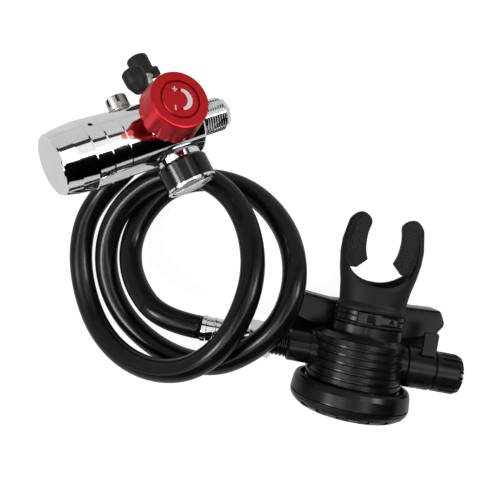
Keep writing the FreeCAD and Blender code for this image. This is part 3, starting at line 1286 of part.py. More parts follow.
def demand_lever():
    """Bent wire: a cross bar as pivot, two legs and a tip bar, with a foot into the poppet's waist."""
    reach = TUBE_R + 1.4
    pivot = Vector(PIVOT_ALONG, PIVOT_FORWARD, 0)
    tip = Vector(LEVER_TIP_ALONG, PLATE_FRONT + PLATE_THICKNESS + LEVER_WIRE_R + 0.15, 0)
    aside = Vector(0, 0, LEVER_TIP_HALF_WIDTH)
    lever = drill(pivot - Z_AXIS * reach, pivot + Z_AXIS * reach, LEVER_WIRE_R)
    lever = lever.fuse(drill(tip - aside, tip + aside, LEVER_WIRE_R))
    for side in (-1, 1):
        heel = pivot + Z_AXIS * (side * (reach - LEVER_WIRE_R))
        corner = tip + aside * side
        lever = lever.fuse(drill(heel, corner, LEVER_WIRE_R)).fuse(Part.makeSphere(LEVER_WIRE_R, corner))
    foot_top = Vector(FOOT_ALONG, tip.y + 0.4, 0)
    return lever.fuse(drill(foot_top, Vector(FOOT_ALONG, FOOT_END, 0), LEVER_WIRE_R))


def lever_bracket():
    """Two lugs on a clip round the valve tube that hold the lever's pivot."""
    start = PIVOT_ALONG - BRACKET_LENGTH / 2
    end = PIVOT_ALONG + BRACKET_LENGTH / 2
    clip = sleeve(start, end, TUBE_R + 1.3, TUBE_R + 0.02)
    for side in (-1, 1):
        corner = Vector(start, PIVOT_FORWARD - 2.2, side * (TUBE_R - 2.0) - 0.8)
        lug = Part.makeBox(BRACKET_LENGTH, 5.2, 1.6, corner)
        clip = clip.fuse(lug.cut(rod(start - 1, end + 1, TUBE_R + 0.5)))
    pivot = Vector(PIVOT_ALONG, PIVOT_FORWARD, 0)
    return clip.cut(drill(pivot - Z_AXIS * 2 * TUBE_R, pivot + Z_AXIS * 2 * TUBE_R, LEVER_WIRE_R + RUNNING))


save("valve_tube", SECOND, valve_tube())
save("valve_orifice", SECOND, valve_orifice())
save("poppet", SECOND, poppet())
save("poppet_spring", SECOND, poppet_spring())
save("inlet_collar", SECOND, inlet_collar())
save("adjust_barrel", SECOND, adjust_barrel())
save("adjust_spindle", SECOND, adjust_spindle())
save("adjust_knob", SECOND, adjust_knob())
save("flow_lever", SECOND, flow_lever())
save("demand_lever", SECOND, demand_lever())
save("lever_bracket", SECOND, lever_bracket())

# Outlet tee and its thin valve

def slab(points, low, high):
    corners = [Vector(across, forward, low) for across, forward in points]
    return Part.Face(Part.makePolygon(corners + corners[:1])).extrude(Vector(0, 0, high - low))


def mirrored(points, side):
    return [(side * across, forward) for across, forward in points]


def tee_section(along, front, ridge, back, top, shoulder, inset):
    """One cross-section of the duct: a flat top behind a ridge, then a slope down to the front."""
    low = front + inset
    high = back - inset
    crown = top - inset
    return Part.makePolygon([
        Vector(along, low, floor_at(low) + inset), Vector(along, high, floor_at(high) + inset),
        Vector(along, high, crown - WING_CORNER), Vector(along, high - WING_CORNER, crown),
        Vector(along, ridge, crown), Vector(along, low, shoulder - inset),
        Vector(along, low, floor_at(low) + inset),
    ])


def tee_duct(inset, reach):
    wing = (WING_FRONT, WING_RIDGE)
    middle = (TEE_FRONT, TEE_RIDGE)
    sections = [
        tee_section(-TEE_SPAN - reach, *wing, WING_BACK_LEFT, TEE_TOP, WING_SHOULDER, inset),
        tee_section(-TEE_NECK_HALF, *middle, TEE_BACK_LEFT, TEE_TOP - 1.0, TEE_SHOULDER, inset),
        tee_section(TEE_NECK_HALF, *middle, TEE_BACK_RIGHT, TEE_TOP - 1.0, TEE_SHOULDER, inset),
        tee_section(TEE_SPAN + reach, *wing, WING_BACK_RIGHT, TEE_TOP, WING_SHOULDER, inset),
    ]
    return Part.makeLoft(sections, True, True)


def exhaust_tee():
    tee = tee_duct(0.0, 0.0).cut(tee_duct(TEE_WALL, 2.0))
    before = FLANGE_FRONT - 4
    outline = [(before, 0), (before, FLANGE_R + LOOSE)] + case_outline(LOOSE) + [(CASE_BACK + 1.8, 0)]
    keep_out = on_mouth(turned(outline))
    neck = oval_bar(CASE_BACK - 2, TEE_BACK_RIGHT + 8, COLLAR_HALF_WIDTH + 1.5, COLLAR_HALF_HEIGHT + 1.5)
    keep_out = keep_out.fuse(at_mouth(neck))
    keep_out = keep_out.fuse(rod(SOCKET_LEFT - 30, SOCKET_LEFT + 10, SOCKET_R + LOOSE))
    keep_out = keep_out.fuse(rod(SOCKET_RIGHT - 10, SOCKET_RIGHT + 40, BARREL_R + 0.6))
    tee = tee.cut(keep_out)
    rear = WING_BACK_RIGHT + 1
    beyond = TEE_SPAN + 1
    rear_corner = [(TEE_SPAN - WING_CUT, rear), (beyond, rear), (beyond, WING_TIP - 1)]
    inboard = TEE_SPAN - WING_FRONT_CUT
    front_corner = [(beyond, WING_TIP), (beyond, WING_FRONT - 1), (inboard, WING_FRONT - 1),
                    (inboard, WING_TIP - WING_FRONT_CUT_LENGTH)]
    for side in (-1, 1):
        for corner in (rear_corner, front_corner):
            tee = tee.cut(slab(mirrored(corner, side), TEE_FLOOR - 10, 0))
    tee = tee.cut(at_outlet(-OUTLET_SEAT_DROP - SEAT_GAP, 20, OUTLET_SEAT_R + SEAT_GAP))
    return tee.cut(at_outlet(floor_at(0) + TEE_WALL + 1.0, 20, OUTLET_SEAT_R - 1.0))


def exhaust_valve():
    """A mushroom valve: a thin disc hung by a stem with a bulb above its hub."""
    top = -OUTLET_SEAT_DROP - RUNNING
    disc = at_outlet(top - EXHAUST_VALVE_THICKNESS, EXHAUST_VALVE_THICKNESS, EXHAUST_VALVE_R)
    stem = at_outlet(top - EXHAUST_VALVE_THICKNESS, 4.0, EXHAUST_STEM_R)
    bulb = Part.makeSphere(1.6 * EXHAUST_STEM_R, Vector(0, OUTLET_SEAT_FORWARD, top + 4.0))
    return disc.fuse(stem).fuse(bulb)


tee = exhaust_tee()
print("tee solids", [round(solid.Volume, 1) for solid in tee.Solids])
save("exhaust_tee", SECOND, tee)
save("exhaust_valve", SECOND, exhaust_valve())


# Mouthpiece and its clamp
CLAMP_END = CLAMP_START + CLAMP_WIDTH
BEAD_GAP = 0.4


def smooth_edge(points):
    curve = Part.BSplineCurve()
    curve.interpolate([Vector(across, forward, 0) for across, forward in points])
    return curve.toShape()


def straight_edge(start, end):
    return Part.makeLine(Vector(*start, 0), Vector(*end, 0))


def both_sides(edges, low, high):
    """A flat outline of the right half, drawn in plan, as a thick plate with its mirror image."""
    plate = Part.Face(Part.Wire(edges)).extrude(Vector(0, 0, high - low))
    plate.translate(Vector(0, 0, low))
    return plate.fuse(plate.mirror(Vector(0, 0, 0), X_AXIS))


def mouthpiece():
    """A soft oval tube that opens into two arms, each a rounded wall with a flat bite tab inside it."""
    bore_width = MOUTH_HALF_WIDTH + LOOSE / 2
    bore_height = MOUTH_HALF_HEIGHT + LOOSE / 2
    width = bore_width + MOUTHPIECE_WALL
    height = bore_height + MOUTHPIECE_WALL
    span = ARM_HALF_SPAN
    body = oval_loft([
        (MOUTHPIECE_START, width, height), (MOUTH_END, width + 0.3, height),
        (LIP_END - 2.0, width + 1.6, height),
        (LIP_END + 6.0, span - 1.3, height - 1.2), (LIP_END + 14.0, span - 0.1, height - 3.0),
        (LIP_END + 21.0, span, height - 4.6), (LIP_END + 29.0, span - 1.3, height - 6.6),
        (BITE_END + 1.5, span - 3.0, height - 9.4),
    ])
    lip = [(0, LIP_END), (6.5, LIP_END + 0.8), (10.8, LIP_END + 2.8), (LIP_HALF_SPAN, LIP_END + 5.2)]
    tab = [
        (span + 1.9, LIP_END + 20.5), (span + 0.7, LIP_END + 26.0), (span - 1.0, LIP_END + 30.4),
        (span - 3.8, LIP_END + 34.6), (span - 7.8, BITE_END), (span - 11.8, LIP_END + 35.8),
        (span - 14.1, LIP_END + 32.5), (span - 13.6, LIP_END + 29.2), (span - BITE_WIDTH, LIP_END + 22.5),
        (span - BITE_WIDTH - 0.6, LIP_END + 17.0), (span - BITE_WIDTH - 2.4, LIP_END + 12.0),
    ]
    beyond = span + 8.0
    foot = (beyond, MOUTHPIECE_START - 1)
    shoulder = (beyond, LIP_END + 20.5)
    plan = both_sides([
        straight_edge((0, MOUTHPIECE_START - 1), foot), straight_edge(foot, shoulder),
        straight_edge(shoulder, tab[0]),
        smooth_edge(tab), straight_edge(tab[-1], lip[-1]), smooth_edge(lip[::-1]),
        straight_edge(lip[0], (0, MOUTHPIECE_START - 1)),
    ], -2 * height, 2 * height)
    body = body.common(plan)
    wall = SHIELD_THICKNESS
    inside = [
        lip[-1], (span - wall - 2.6, LIP_END + 9.0), (span - wall - 1.0, LIP_END + 14.0),
        (span - wall - 0.6, LIP_END + 21.0), (span - wall - 1.2, LIP_END + 28.0),
        (span - wall - 2.9, LIP_END + 34.0), (span - wall - 5.0, BITE_END + 2.0),
    ]
    pocket = [smooth_edge(lip), smooth_edge(inside), straight_edge(inside[-1], (0, BITE_END + 2.0)),
              straight_edge((0, BITE_END + 2.0), lip[0])]
    upper = both_sides(pocket, BITE_THICKNESS / 2, 2 * height)
    upper.translate(Vector(0, -LIP_LEAN, 0))
    lower = both_sides(pocket, -2 * height, -BITE_THICKNESS / 2)
    body = body.cut(upper).cut(lower)
    beads = oval_bar(MOUTHPIECE_START, CLAMP_START - BEAD_GAP, width + BEAD_HEIGHT, height + BEAD_HEIGHT)
    beads = beads.fuse(oval_loft([
        (CLAMP_END + BEAD_GAP, width + BEAD_HEIGHT, height + BEAD_HEIGHT),
        (CLAMP_END + 2.6, width + BEAD_HEIGHT, height + BEAD_HEIGHT), (MOUTH_END + 0.6, width, height),
    ]))
    throat = oval_loft([
        (MOUTH_END - 0.5, bore_width - 0.6, bore_height - 0.6),
        (LIP_END + 6.6, span - 5.6, bore_height - 2.0),
    ])
    body = body.fuse(beads).cut(throat)
    return at_mouth(body.cut(oval_bar(MOUTHPIECE_START - 1, MOUTH_END + SEAT_GAP, bore_width, bore_height)))


def mouthpiece_clamp():
    """A ratchet strap round the mouthpiece with its square head on top."""
    width = MOUTH_HALF_WIDTH + LOOSE / 2 + MOUTHPIECE_WALL + 0.1
    height = MOUTH_HALF_HEIGHT + LOOSE / 2 + MOUTHPIECE_WALL + 0.08
    thick = CLAMP_THICKNESS
    band = oval_bar(CLAMP_START, CLAMP_END, width + thick, height + thick)
    head = Part.makeBox(8.0, CLAMP_WIDTH + 0.3, 4.6, Vector(-9.0, CLAMP_START - 0.15, height - 1.2))
    bridge = Part.makeBox(16.0, CLAMP_WIDTH - 2.0, 2.6, Vector(-4.0, CLAMP_START + 1.0, height - 1.0))
    inside = oval_bar(CLAMP_START - 3, CLAMP_END + 3, width + 0.1, height)
    return at_mouth(band.fuse(head).fuse(bridge).cut(inside))


save("mouthpiece", SECOND, mouthpiece())
save("mouthpiece_clamp", SECOND, mouthpiece_clamp())
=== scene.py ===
import math

import bmesh
import bpy
from mathutils import Euler, Matrix, Vector


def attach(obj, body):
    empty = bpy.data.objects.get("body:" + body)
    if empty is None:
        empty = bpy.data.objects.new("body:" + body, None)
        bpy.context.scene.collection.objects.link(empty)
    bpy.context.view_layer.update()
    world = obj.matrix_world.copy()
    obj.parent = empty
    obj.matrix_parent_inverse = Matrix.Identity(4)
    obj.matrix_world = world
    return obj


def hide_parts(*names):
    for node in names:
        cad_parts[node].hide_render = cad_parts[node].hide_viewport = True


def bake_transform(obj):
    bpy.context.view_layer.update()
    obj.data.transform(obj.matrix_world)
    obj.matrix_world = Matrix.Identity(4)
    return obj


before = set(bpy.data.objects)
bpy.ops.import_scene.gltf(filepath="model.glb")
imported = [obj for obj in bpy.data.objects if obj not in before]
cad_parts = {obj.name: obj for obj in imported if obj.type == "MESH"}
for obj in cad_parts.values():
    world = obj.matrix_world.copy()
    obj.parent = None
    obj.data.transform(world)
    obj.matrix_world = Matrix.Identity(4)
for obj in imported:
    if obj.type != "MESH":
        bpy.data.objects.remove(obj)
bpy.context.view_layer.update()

# The studio: a white floor with the set lying on it, seen from straight above. The sky is one
# soft light. Mirrors see boards in it, which stand round the set and give the plating its bands.
# The boards' edges are slopes, sideways over upwards, across the first stage and along it.
CAMERA_AT = (-0.0077, -0.0046, 0.400)
CAMERA_LENS_MM = 48.24
CAMERA_SENSOR_MM = 36.0
FLOOR_SIDE = 6.0
FLOOR_GREY = (0.2, 0.2, 0.2, 1)
FLOOR_GLOW = 0.93
FLOOR_IN_MIRRORS = 0.50
SOFT_LIGHT = 0.36
LOWEST_SKY = 0.02
ACROSS_DEGREES = 24.6
NEAR_BOARD_EDGE = -0.44
NEAR_BOARD_SOFTNESS = 0.04
FAR_BOARD_EDGES = (0.47, 0.84)
FAR_BOARD_DARKNESS = 0.96
WALL_BRIGHTNESS = 0.66
NEAR_STRIP = (-0.40, -0.24)
SIDE_STRIPS = [(-0.62, -0.34), (0.40, 0.60)]
SIDE_STRIP_REACH = (-0.40, 0.42)
SIDE_STRIP_FADE = 0.03
EDGE_SOFTNESS = 0.02
STRIP_BRIGHTNESS = 4.5
LAMPS = {"lamp_left": ((-0.85, -0.20, 0.85), 9.0), "lamp_right": ((0.85, 0.20, 0.80), 6.0)}
LAMP_TARGET = (0, 0, 0.03)
LAMP_SIDE = 0.30


class Flow:
    """One socket of a shader tree. Arithmetic on it adds Math nodes; node() adds any other node."""

    def __init__(self, tree, socket=None):
        self.tree, self.socket = tree, socket

    def node(self, kind, settings=None, sockets=None, out=0):
        made = self.tree.nodes.new(kind)
        for name, value in (settings or {}).items():
            setattr(made, name, value)
        for name, value in (sockets or {}).items():
            if isinstance(value, Flow):
                self.tree.links.new(value.socket, made.inputs[name])
            else:
                made.inputs[name].default_value = value
        return Flow(self.tree, made.outputs[out])

    def math(self, operation, first, second=0.0):
        return self.node("ShaderNodeMath", {"operation": operation}, {0: first, 1: second})

    def __add__(self, other):
        return self.math("ADD", self, other)

    def __sub__(self, other):
        return self.math("SUBTRACT", self, other)

    def __rsub__(self, other):
        return self.math("SUBTRACT", other, self)

    def __mul__(self, other):
        return self.math("MULTIPLY", self, other)

    def __truediv__(self, other):
        return self.math("DIVIDE", self, other)

    __radd__, __rmul__ = __add__, __mul__

    def larger(self, other):
        return self.math("MAXIMUM", self, other)

    def sine(self):
        return self.math("SINE", self)

    def root(self):
        return self.math("SQRT", self)

    def fraction(self):
        return self.math("FRACT", self)

    def parts(self):
        return [self.node("ShaderNodeSeparateXYZ", {}, {0: self}, out=axis) for axis in "XYZ"]

    def placed(self, metres, degrees):
        """These coordinates as seen from a frame at that place, turned by those angles."""
        turns = tuple(math.radians(angle) for angle in degrees)
        return self.node("ShaderNodeMapping", {"vector_type": "TEXTURE"},
                         {"Vector": self, "Location": metres, "Rotation": turns})

    def noise(self, scale, detail=3.0):
        return self.node("ShaderNodeTexNoise", {}, {"Vector": self, "Scale": scale, "Detail": detail})

    def ramp(self, low, high):
        """0 below low, 1 above high, straight between them."""
        return self.node("ShaderNodeMapRange", {"clamp": True}, {0: self, 1: low, 2: high, 3: 0.0, 4: 1.0})

    def band(self, low, high, soft):
        """1 between two values, with soft ends."""
        return self.ramp(low - soft, low + soft) * (1 - self.ramp(high - soft, high + soft))

    def blend(self, first, second):
        """The first colour where this value is 0, the second where it is 1."""
        return self.node("ShaderNodeMix", {"data_type": "RGBA"}, {0: self, 6: first, 7: second}, out=2)


def kinds_of_ray(flow):
    """1 or 0 for rays that come straight from the camera, from a mirror, and through glass."""
    return [flow.node("ShaderNodeLightPath", out=name) for name in
            ("Is Camera Ray", "Is Glossy Ray", "Is Transmission Ray")]


world = bpy.data.worlds.new("studio_light")
bpy.context.scene.world = world
world.use_nodes = True
world.node_tree.nodes.clear()
air = Flow(world.node_tree)
camera_ray, mirror_ray, lens_ray = kinds_of_ray(air)
sky_x, sky_y, sky_z = air.node("ShaderNodeTexCoord", out="Generated").parts()
stage_cos, stage_sin = math.cos(math.radians(ACROSS_DEGREES)), math.sin(math.radians(ACROSS_DEGREES))
height = sky_z.larger(LOWEST_SKY)
steep = (sky_y * stage_cos - sky_x * stage_sin) / height
sideways = (sky_x * stage_cos + sky_y * stage_sin) / height
lit_side = steep.ramp(NEAR_BOARD_EDGE - NEAR_BOARD_SOFTNESS, NEAR_BOARD_EDGE + NEAR_BOARD_SOFTNESS)
far_board = steep.band(*FAR_BOARD_EDGES, EDGE_SOFTNESS)
far_wall = steep.ramp(*FAR_BOARD_EDGES)
boards = lit_side * (1 - far_board * FAR_BOARD_DARKNESS) * (1 - far_wall * (1 - WALL_BRIGHTNESS))
strips = steep.band(*NEAR_STRIP, EDGE_SOFTNESS)
for start, end in SIDE_STRIPS:
    side_strip = sideways.band(start, end, EDGE_SOFTNESS) * steep.band(*SIDE_STRIP_REACH, SIDE_STRIP_FADE)
    strips = strips.larger(side_strip)
boards = boards + strips * STRIP_BRIGHTNESS
seen_directly = camera_ray.larger(lens_ray)
strength = seen_directly + (1 - seen_directly) * (mirror_ray * boards + (1 - mirror_ray) * SOFT_LIGHT)
shell = air.node("ShaderNodeBackground", {}, {"Color": (1, 1, 1, 1), "Strength": strength})
world.node_tree.links.new(shell.socket, world.node_tree.nodes.new("ShaderNodeOutputWorld").inputs[0])

for name, (place, power) in LAMPS.items():
    light = bpy.data.lights.new(name, "AREA")
    light.shape, light.size, light.energy = "SQUARE", LAMP_SIDE, power
    lamp = bpy.data.objects.new(name, light)
    bpy.context.collection.objects.link(lamp)
    lamp.location = place
    lamp.rotation_euler = (Vector(LAMP_TARGET) - Vector(place)).to_track_quat("-Z", "Y").to_euler()


def surface(name, **sockets):
    """A new material: its shader, with sockets set by name, and the object's own coordinates to draw on."""
    material = bpy.data.materials.new(name)
    material.use_nodes = True
    shader = material.node_tree.nodes["Principled BSDF"]
    for socket, value in sockets.items():
        shader.inputs[socket.replace("_", " ")].default_value = value
    place = Flow(material.node_tree).node("ShaderNodeTexCoord", out="Object")
    return material, shader, place


def feed(shader, **flows):
    """Links flows to the shader's sockets, named with _ for a space."""
    for socket, flow in flows.items():
        flow.tree.links.new(flow.socket, shader.inputs[socket.replace("_", " ")])


def mesh_piece(name, vertices, faces, material, smooth=True, edges=()):
    """A new mesh object at the origin."""
    mesh = bpy.data.meshes.new(name)
    mesh.from_pydata([tuple(point) for point in vertices], edges, faces)
    mesh.materials.append(material)
    mesh.polygons.foreach_set("use_smooth", [smooth] * len(mesh.polygons))
    piece = bpy.data.objects.new(name, mesh)
    bpy.context.collection.objects.link(piece)
    return piece


floor_material, floor_shader, floor_place = surface(
    "white_floor", Base_Color=FLOOR_GREY, Roughness=0.9, Specular_IOR_Level=0.0, Emission_Strength=1.0)
by_camera, by_mirror, by_lens = kinds_of_ray(floor_place)
floor_glow = (by_camera + by_lens) * FLOOR_GLOW + by_mirror * FLOOR_IN_MIRRORS
feed(floor_shader, Emission_Color=floor_glow.blend((0, 0, 0, 1), (1, 1, 1, 1)))
half = FLOOR_SIDE / 2
floor = mesh_piece("studio_floor", [(-half, -half, 0), (half, -half, 0), (half, half, 0), (-half, half, 0)],
                   [(0, 1, 2, 3)], floor_material)

camera_data = bpy.data.cameras.new("camera")
camera_data.lens, camera_data.sensor_width, camera_data.clip_start = CAMERA_LENS_MM, CAMERA_SENSOR_MM, 0.01
camera = bpy.data.objects.new("camera", camera_data)
bpy.context.collection.objects.link(camera)
camera.location = CAMERA_AT
bpy.context.scene.camera = camera
bpy.context.scene.view_settings.view_transform = "Standard"

# The low pressure hose: smooth black rubber over a braid whose turns show faintly through it.
# It leaves the first stage downwards, makes two loose turns that climb over each other, and
# runs back under them into the second stage's inlet.
HOSE_DIAMETER = 0.013
HOSE_ROUND = 40
HOSE_STEPS = 14
BRAID_PITCH = 0.0012
BRAID_CARRIERS = 8
HOSE_BLACK = (0.0030, 0.0030, 0.0035, 1)
HOSE_SMUDGED = (0.0060, 0.0060, 0.0070, 1)
HOSE_ROUTE_MM = [
    (-74.69, 43, 29.11), (-81.82, 38.63, 15.47),
    (-94.7, 27.9, 8), (-104.7, 12.4, 6.6), (-107.7, -8.6, 6.6), (-104.2, -30.6, 8), (-94.7, -50.6, 14),
    (-79.2, -64.6, 24), (-59.7, -70.6, 36), (-39.7, -67.6, 49), (-22.2, -55.1, 58),
    (-10.7, -35.6, 59.5), (-5.2, -13.6, 53), (-8.7, 9.4, 44), (-20.2, 28.4, 35), (-40.7, 39.4, 28),
    (-61.2, 36.4, 21), (-79.7, 23.2, 14.5), (-91.2, 4.4, 8.5), (-92.5, -18.6, 6.6), (-84.0, -41.0, 6.6),
    (-66.7, -57.6, 12), (-46.2, -66.6, 23), (-26.2, -67.1, 36.5), (-8.7, -58.1, 49.5), (7.8, -43.6, 57),
    (15.8, -23.6, 55.5), (15.3, -2.1, 43.5), (5.8, 16.9, 29.5), (-10.2, 30.9, 17.5), (-31.2, 37.4, 8.5),
    (-54.4, 33.4, 6.6), (-71, 16.6, 6.6), (-78.4, -4.0, 9.5), (-73.2, -24.2, 21.5),
    (-56.68, -42.94, 33.4), (-34.06, -47.13, 33.4),
]


def raised(height, depth, strength=1.0):
    """A bump of that depth in metres from a height between 0 and 1."""
    return height.node("ShaderNodeBump", {}, {"Height": height, "Distance": depth, "Strength": strength})


def route_line(name, points, resolution):
    """Points along the smooth curve that a list of route points controls."""
    curve = bpy.data.curves.new(name, "CURVE")
    curve.dimensions = "3D"
    spline = curve.splines.new("NURBS")
    spline.points.add(len(points) - 1)
    for control, point in zip(spline.points, points):
        control.co = (*point, 1)
    spline.order_u = 3
    spline.use_endpoint_u = True
    spline.resolution_u = resolution
    holder = bpy.data.objects.new(name, curve)
    line = bpy.data.meshes.new_from_object(holder)
    result = [vertex.co.copy() for vertex in line.vertices]
    bpy.data.objects.remove(holder)
    return result


def tube_along(name, line, radius, around, material):
    """A tube round a line, closed at both ends. Its UV map holds metres along it and its way round."""
    vertices, faces, lengths = [], [], []
    run = 0.0
    side = None
    for i, point in enumerate(line):
        ahead = (line[min(i + 1, len(line) - 1)] - line[max(i - 1, 0)]).normalized()
        side = (ahead.orthogonal() if side is None else side - ahead * side.dot(ahead)).normalized()
        up = ahead.cross(side)
        run += (point - line[i - 1]).length if i else 0.0
        lengths.append(run)
        for j in range(around):
            angle = 2 * math.pi * j / around
            vertices.append(point + radius * (math.cos(angle) * side + math.sin(angle) * up))
    for i in range(len(line) - 1):
        for j in range(around):
            k = (j + 1) % around
            faces.append((i * around + j, i * around + k, (i + 1) * around + k, (i + 1) * around + j))
    faces.append(tuple(reversed(range(around))))
    faces.append(tuple(range((len(line) - 1) * around, len(line) * around)))
    piece = mesh_piece(name, vertices, faces, material)
    layer = piece.data.uv_layers.new(name="hose_way")
    for face in piece.data.polygons[:-2]:
        ring, start = divmod(face.index, around)
        corners = ((ring, start), (ring, start + 1), (ring + 1, start + 1), (ring + 1, start))
        for loop, (row, column) in zip(face.loop_indices, corners):
            layer.data[loop].uv = (lengths[row], column / around)
    return piece


hose_rubber, shader, place = surface("hose_rubber", Specular_IOR_Level=0.17)
along, turn, _ = place.node("ShaderNodeUVMap", {"uv_map": "hose_way"}).parts()
carriers = turn * (BRAID_CARRIERS * 2 * math.pi)
picks = along * (2 * math.pi / BRAID_PITCH)
braid = (picks + carriers).sine() * 0.5 + 0.5
cross_braid = (picks - carriers).sine() * 0.5 + 0.5
dust = place.noise(900.0, 4.0)
smudge = place.noise(45.0)
feed(shader, Roughness=0.13 + smudge * 0.12 + dust * 0.05,
     Normal=raised(braid * 0.5 + cross_braid * 0.5 + dust * 0.3, 0.00002, 0.5),
     Base_Color=smudge.ramp(0.35, 0.7).blend(HOSE_BLACK, HOSE_SMUDGED))

hose_line = route_line("hose_route", [Vector(point) / 1000 for point in HOSE_ROUTE_MM], HOSE_STEPS)
hose = tube_along("low_pressure_hose", hose_line, HOSE_DIAMETER / 2, HOSE_ROUND, hose_rubber)
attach(hose, "set")
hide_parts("hose")
tuple(hose_line[0])
[tuple(point) for point in hose_line]

# The plated parts of the first stage: turned brass with bright plating, so every face is a
# mirror with a very fine haze from polishing. Thin rings run round it where the tool turned it.
FIRST_STAGE = {"metres": (-0.0995, 0.0343, 0.090), "degrees": (-3.6, 31.3, 24.6)}
PLATING = (0.80, 0.81, 0.83, 1)
PLATING_HAZED = (0.76, 0.77, 0.80, 1)
PLATING_CLEAR = (0.86, 0.86, 0.87, 1)
TURNING_RADIANS_PER_METRE = 9000.0


def dress(material, *nodes):
    """Gives CAD nodes a finish of this file."""
    for name in nodes:
        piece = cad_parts[name]
        if piece.material_slots:
            for held in piece.material_slots:
                held.material = material
        else:
            piece.data.materials.append(material)


plating, shader, place = surface("bright_plating", Metallic=1.0, Base_Color=PLATING)
stage_x, _, _ = place.placed(**FIRST_STAGE).parts()
haze = place.noise(60.0, 5.0)
turning = (stage_x * TURNING_RADIANS_PER_METRE).sine() * 0.5 + 0.5
grain = place.noise(2600.0, 2.0)
feed(shader, Roughness=0.04 + haze * 0.06, Normal=raised(turning * 0.6 + grain * 0.4, 0.0000006, 0.2),
     Base_Color=haze.ramp(0.3, 0.7).blend(PLATING_HAZED, PLATING_CLEAR))
dress(plating, "first_stage_body", "end_cap", "vent_ring", "lock_ring", "bonnet", "gauge_boss",
      "gauge_bezel", "hose_fitting_first", "ferrule_first", "hose_fitting_second", "ferrule_second",
      "swivel_nut")

# The filling nipple and the safety plug: bare nickel, brushed round by the lathe, duller than
# the plating and slightly warm.
NICKEL_TARNISHED = (0.34, 0.32, 0.30, 1)
NICKEL_CLEAN = (0.55, 0.52, 0.49, 1)
BRUSH_LONG, BRUSH_SHORT = 0.15, 6.0

brushed, shader, place = surface("brushed_nickel", Metallic=1.0)
stage_x, stage_y, stage_z = place.placed(**FIRST_STAGE).parts()
brush_way = place.node("ShaderNodeCombineXYZ", {}, {
    0: stage_x * BRUSH_LONG, 1: stage_y * BRUSH_SHORT, 2: stage_z * BRUSH_LONG})
strokes = brush_way.noise(900.0, 4.0)
tarnish = place.noise(220.0)
feed(shader, Roughness=0.26 + strokes * 0.22, Normal=raised(strokes, 0.00001, 0.5),
     Base_Color=tarnish.ramp(0.35, 0.7).blend(NICKEL_TARNISHED, NICKEL_CLEAN))
dress(brushed, "fill_nipple", "burst_plug")

# The inner brass and steel parts: valves, seats and plates, turned or pressed and left bare,
# with fine tool lines.
BRASS_DARK, BRASS_BRIGHT = (0.66, 0.45, 0.19, 1), (0.76, 0.54, 0.25, 1)
STEEL_DARK, STEEL_BRIGHT = (0.54, 0.54, 0.55, 1), (0.64, 0.64, 0.65, 1)

brass, shader, place = surface("machined_brass", Metallic=1.0)
tool_lines = place.noise(1500.0, 2.0)
feed(shader, Roughness=0.22 + tool_lines * 0.12, Normal=raised(tool_lines, 0.000004, 0.5),
     Base_Color=tool_lines.ramp(0.3, 0.7).blend(BRASS_DARK, BRASS_BRIGHT))
dress(brass, "inlet_filter", "piston", "stem_guide", "pressure_orifice", "valve_plug", "gauge_movement",
      "nipple_valve", "burst_disc", "valve_orifice", "adjust_spindle")
steel, shader, place = surface("drawn_steel", Metallic=1.0)
streak = place.noise(900.0)
feed(shader, Roughness=0.20 + streak * 0.15, Normal=raised(streak, 0.000003, 0.5),
     Base_Color=streak.ramp(0.3, 0.7).blend(STEEL_DARK, STEEL_BRIGHT))
dress(steel, "filter_clip", "valve_spindle", "diaphragm_plate", "demand_lever", "lever_bracket")

# The knob: turned aluminium with a red anodised skin. Its face and its disc show the lathe's
# rings, and its flutes a satin blast. White paint fills the crescent and the signs, a film
# that stands a little above the disc. The white seat in the piston has the same finish.
KNOB_STATION = 0.0555
KNOB_TOP = 0.0380
KNOB_TURN_DEGREES = 158.4
KNOB_RING_RADIANS_PER_METRE = 26000.0
DEEP_RED, RED = (0.43, 0.006, 0.010, 1), (0.50, 0.009, 0.014, 1)
PAINT_GREY, PAINT_WHITE = (0.56, 0.55, 0.55, 1), (0.68, 0.67, 0.67, 1)
PAINT_HEIGHT = 0.00015
MARK_RADIUS = 0.0048
MARK_FROM, MARK_TO = -79.0, 82.0
MARK_END_WIDTH = 0.0012
MARK_BULGE_OUT, MARK_BULGE_IN = 0.0005, 0.0007
MARK_STEPS = 40
SIGN_RADIUS, SIGN_LENGTH, SIGN_WIDTH = 0.0054, 0.0025, 0.00052
PLUS_DEGREES, MINUS_DEGREES = 116.0, -122.0

anodised, shader, place = surface("red_anodised", Metallic=0.7, Specular_IOR_Level=0.4)
stage_x, stage_y, _ = place.placed(**FIRST_STAGE).parts()
knob_x = stage_x - KNOB_STATION
knob_radius = (knob_x * knob_x + stage_y * stage_y).root()
lathe = (knob_radius * KNOB_RING_RADIANS_PER_METRE).sine() * 0.5 + 0.5
satin = place.noise(2400.0)
tone = place.noise(80.0)
feed(shader, Roughness=0.30 + satin * 0.12, Normal=raised(lathe * 0.5 + satin * 0.5, 0.000006, 0.5),
     Base_Color=tone.ramp(0.3, 0.7).blend(DEEP_RED, RED))
dress(anodised, "valve_knob", "knob_insert")
printed, shader, place = surface("white_paint", Roughness=0.45)
ink = place.noise(1800.0)
feed(shader, Roughness=0.4 + ink * 0.15, Normal=raised(ink, 0.00001, 0.4),
     Base_Color=ink.ramp(0.2, 0.8).blend(PAINT_GREY, PAINT_WHITE))
dress(printed, "seat_insert")


def standing(metres, degrees):
    """The matrix that carries a stage's own coordinates into the set."""
    turn = Euler([math.radians(angle) for angle in degrees], "XYZ")
    return Matrix.Translation(metres) @ turn.to_matrix().to_4x4()


first_stage_place = standing(**FIRST_STAGE)


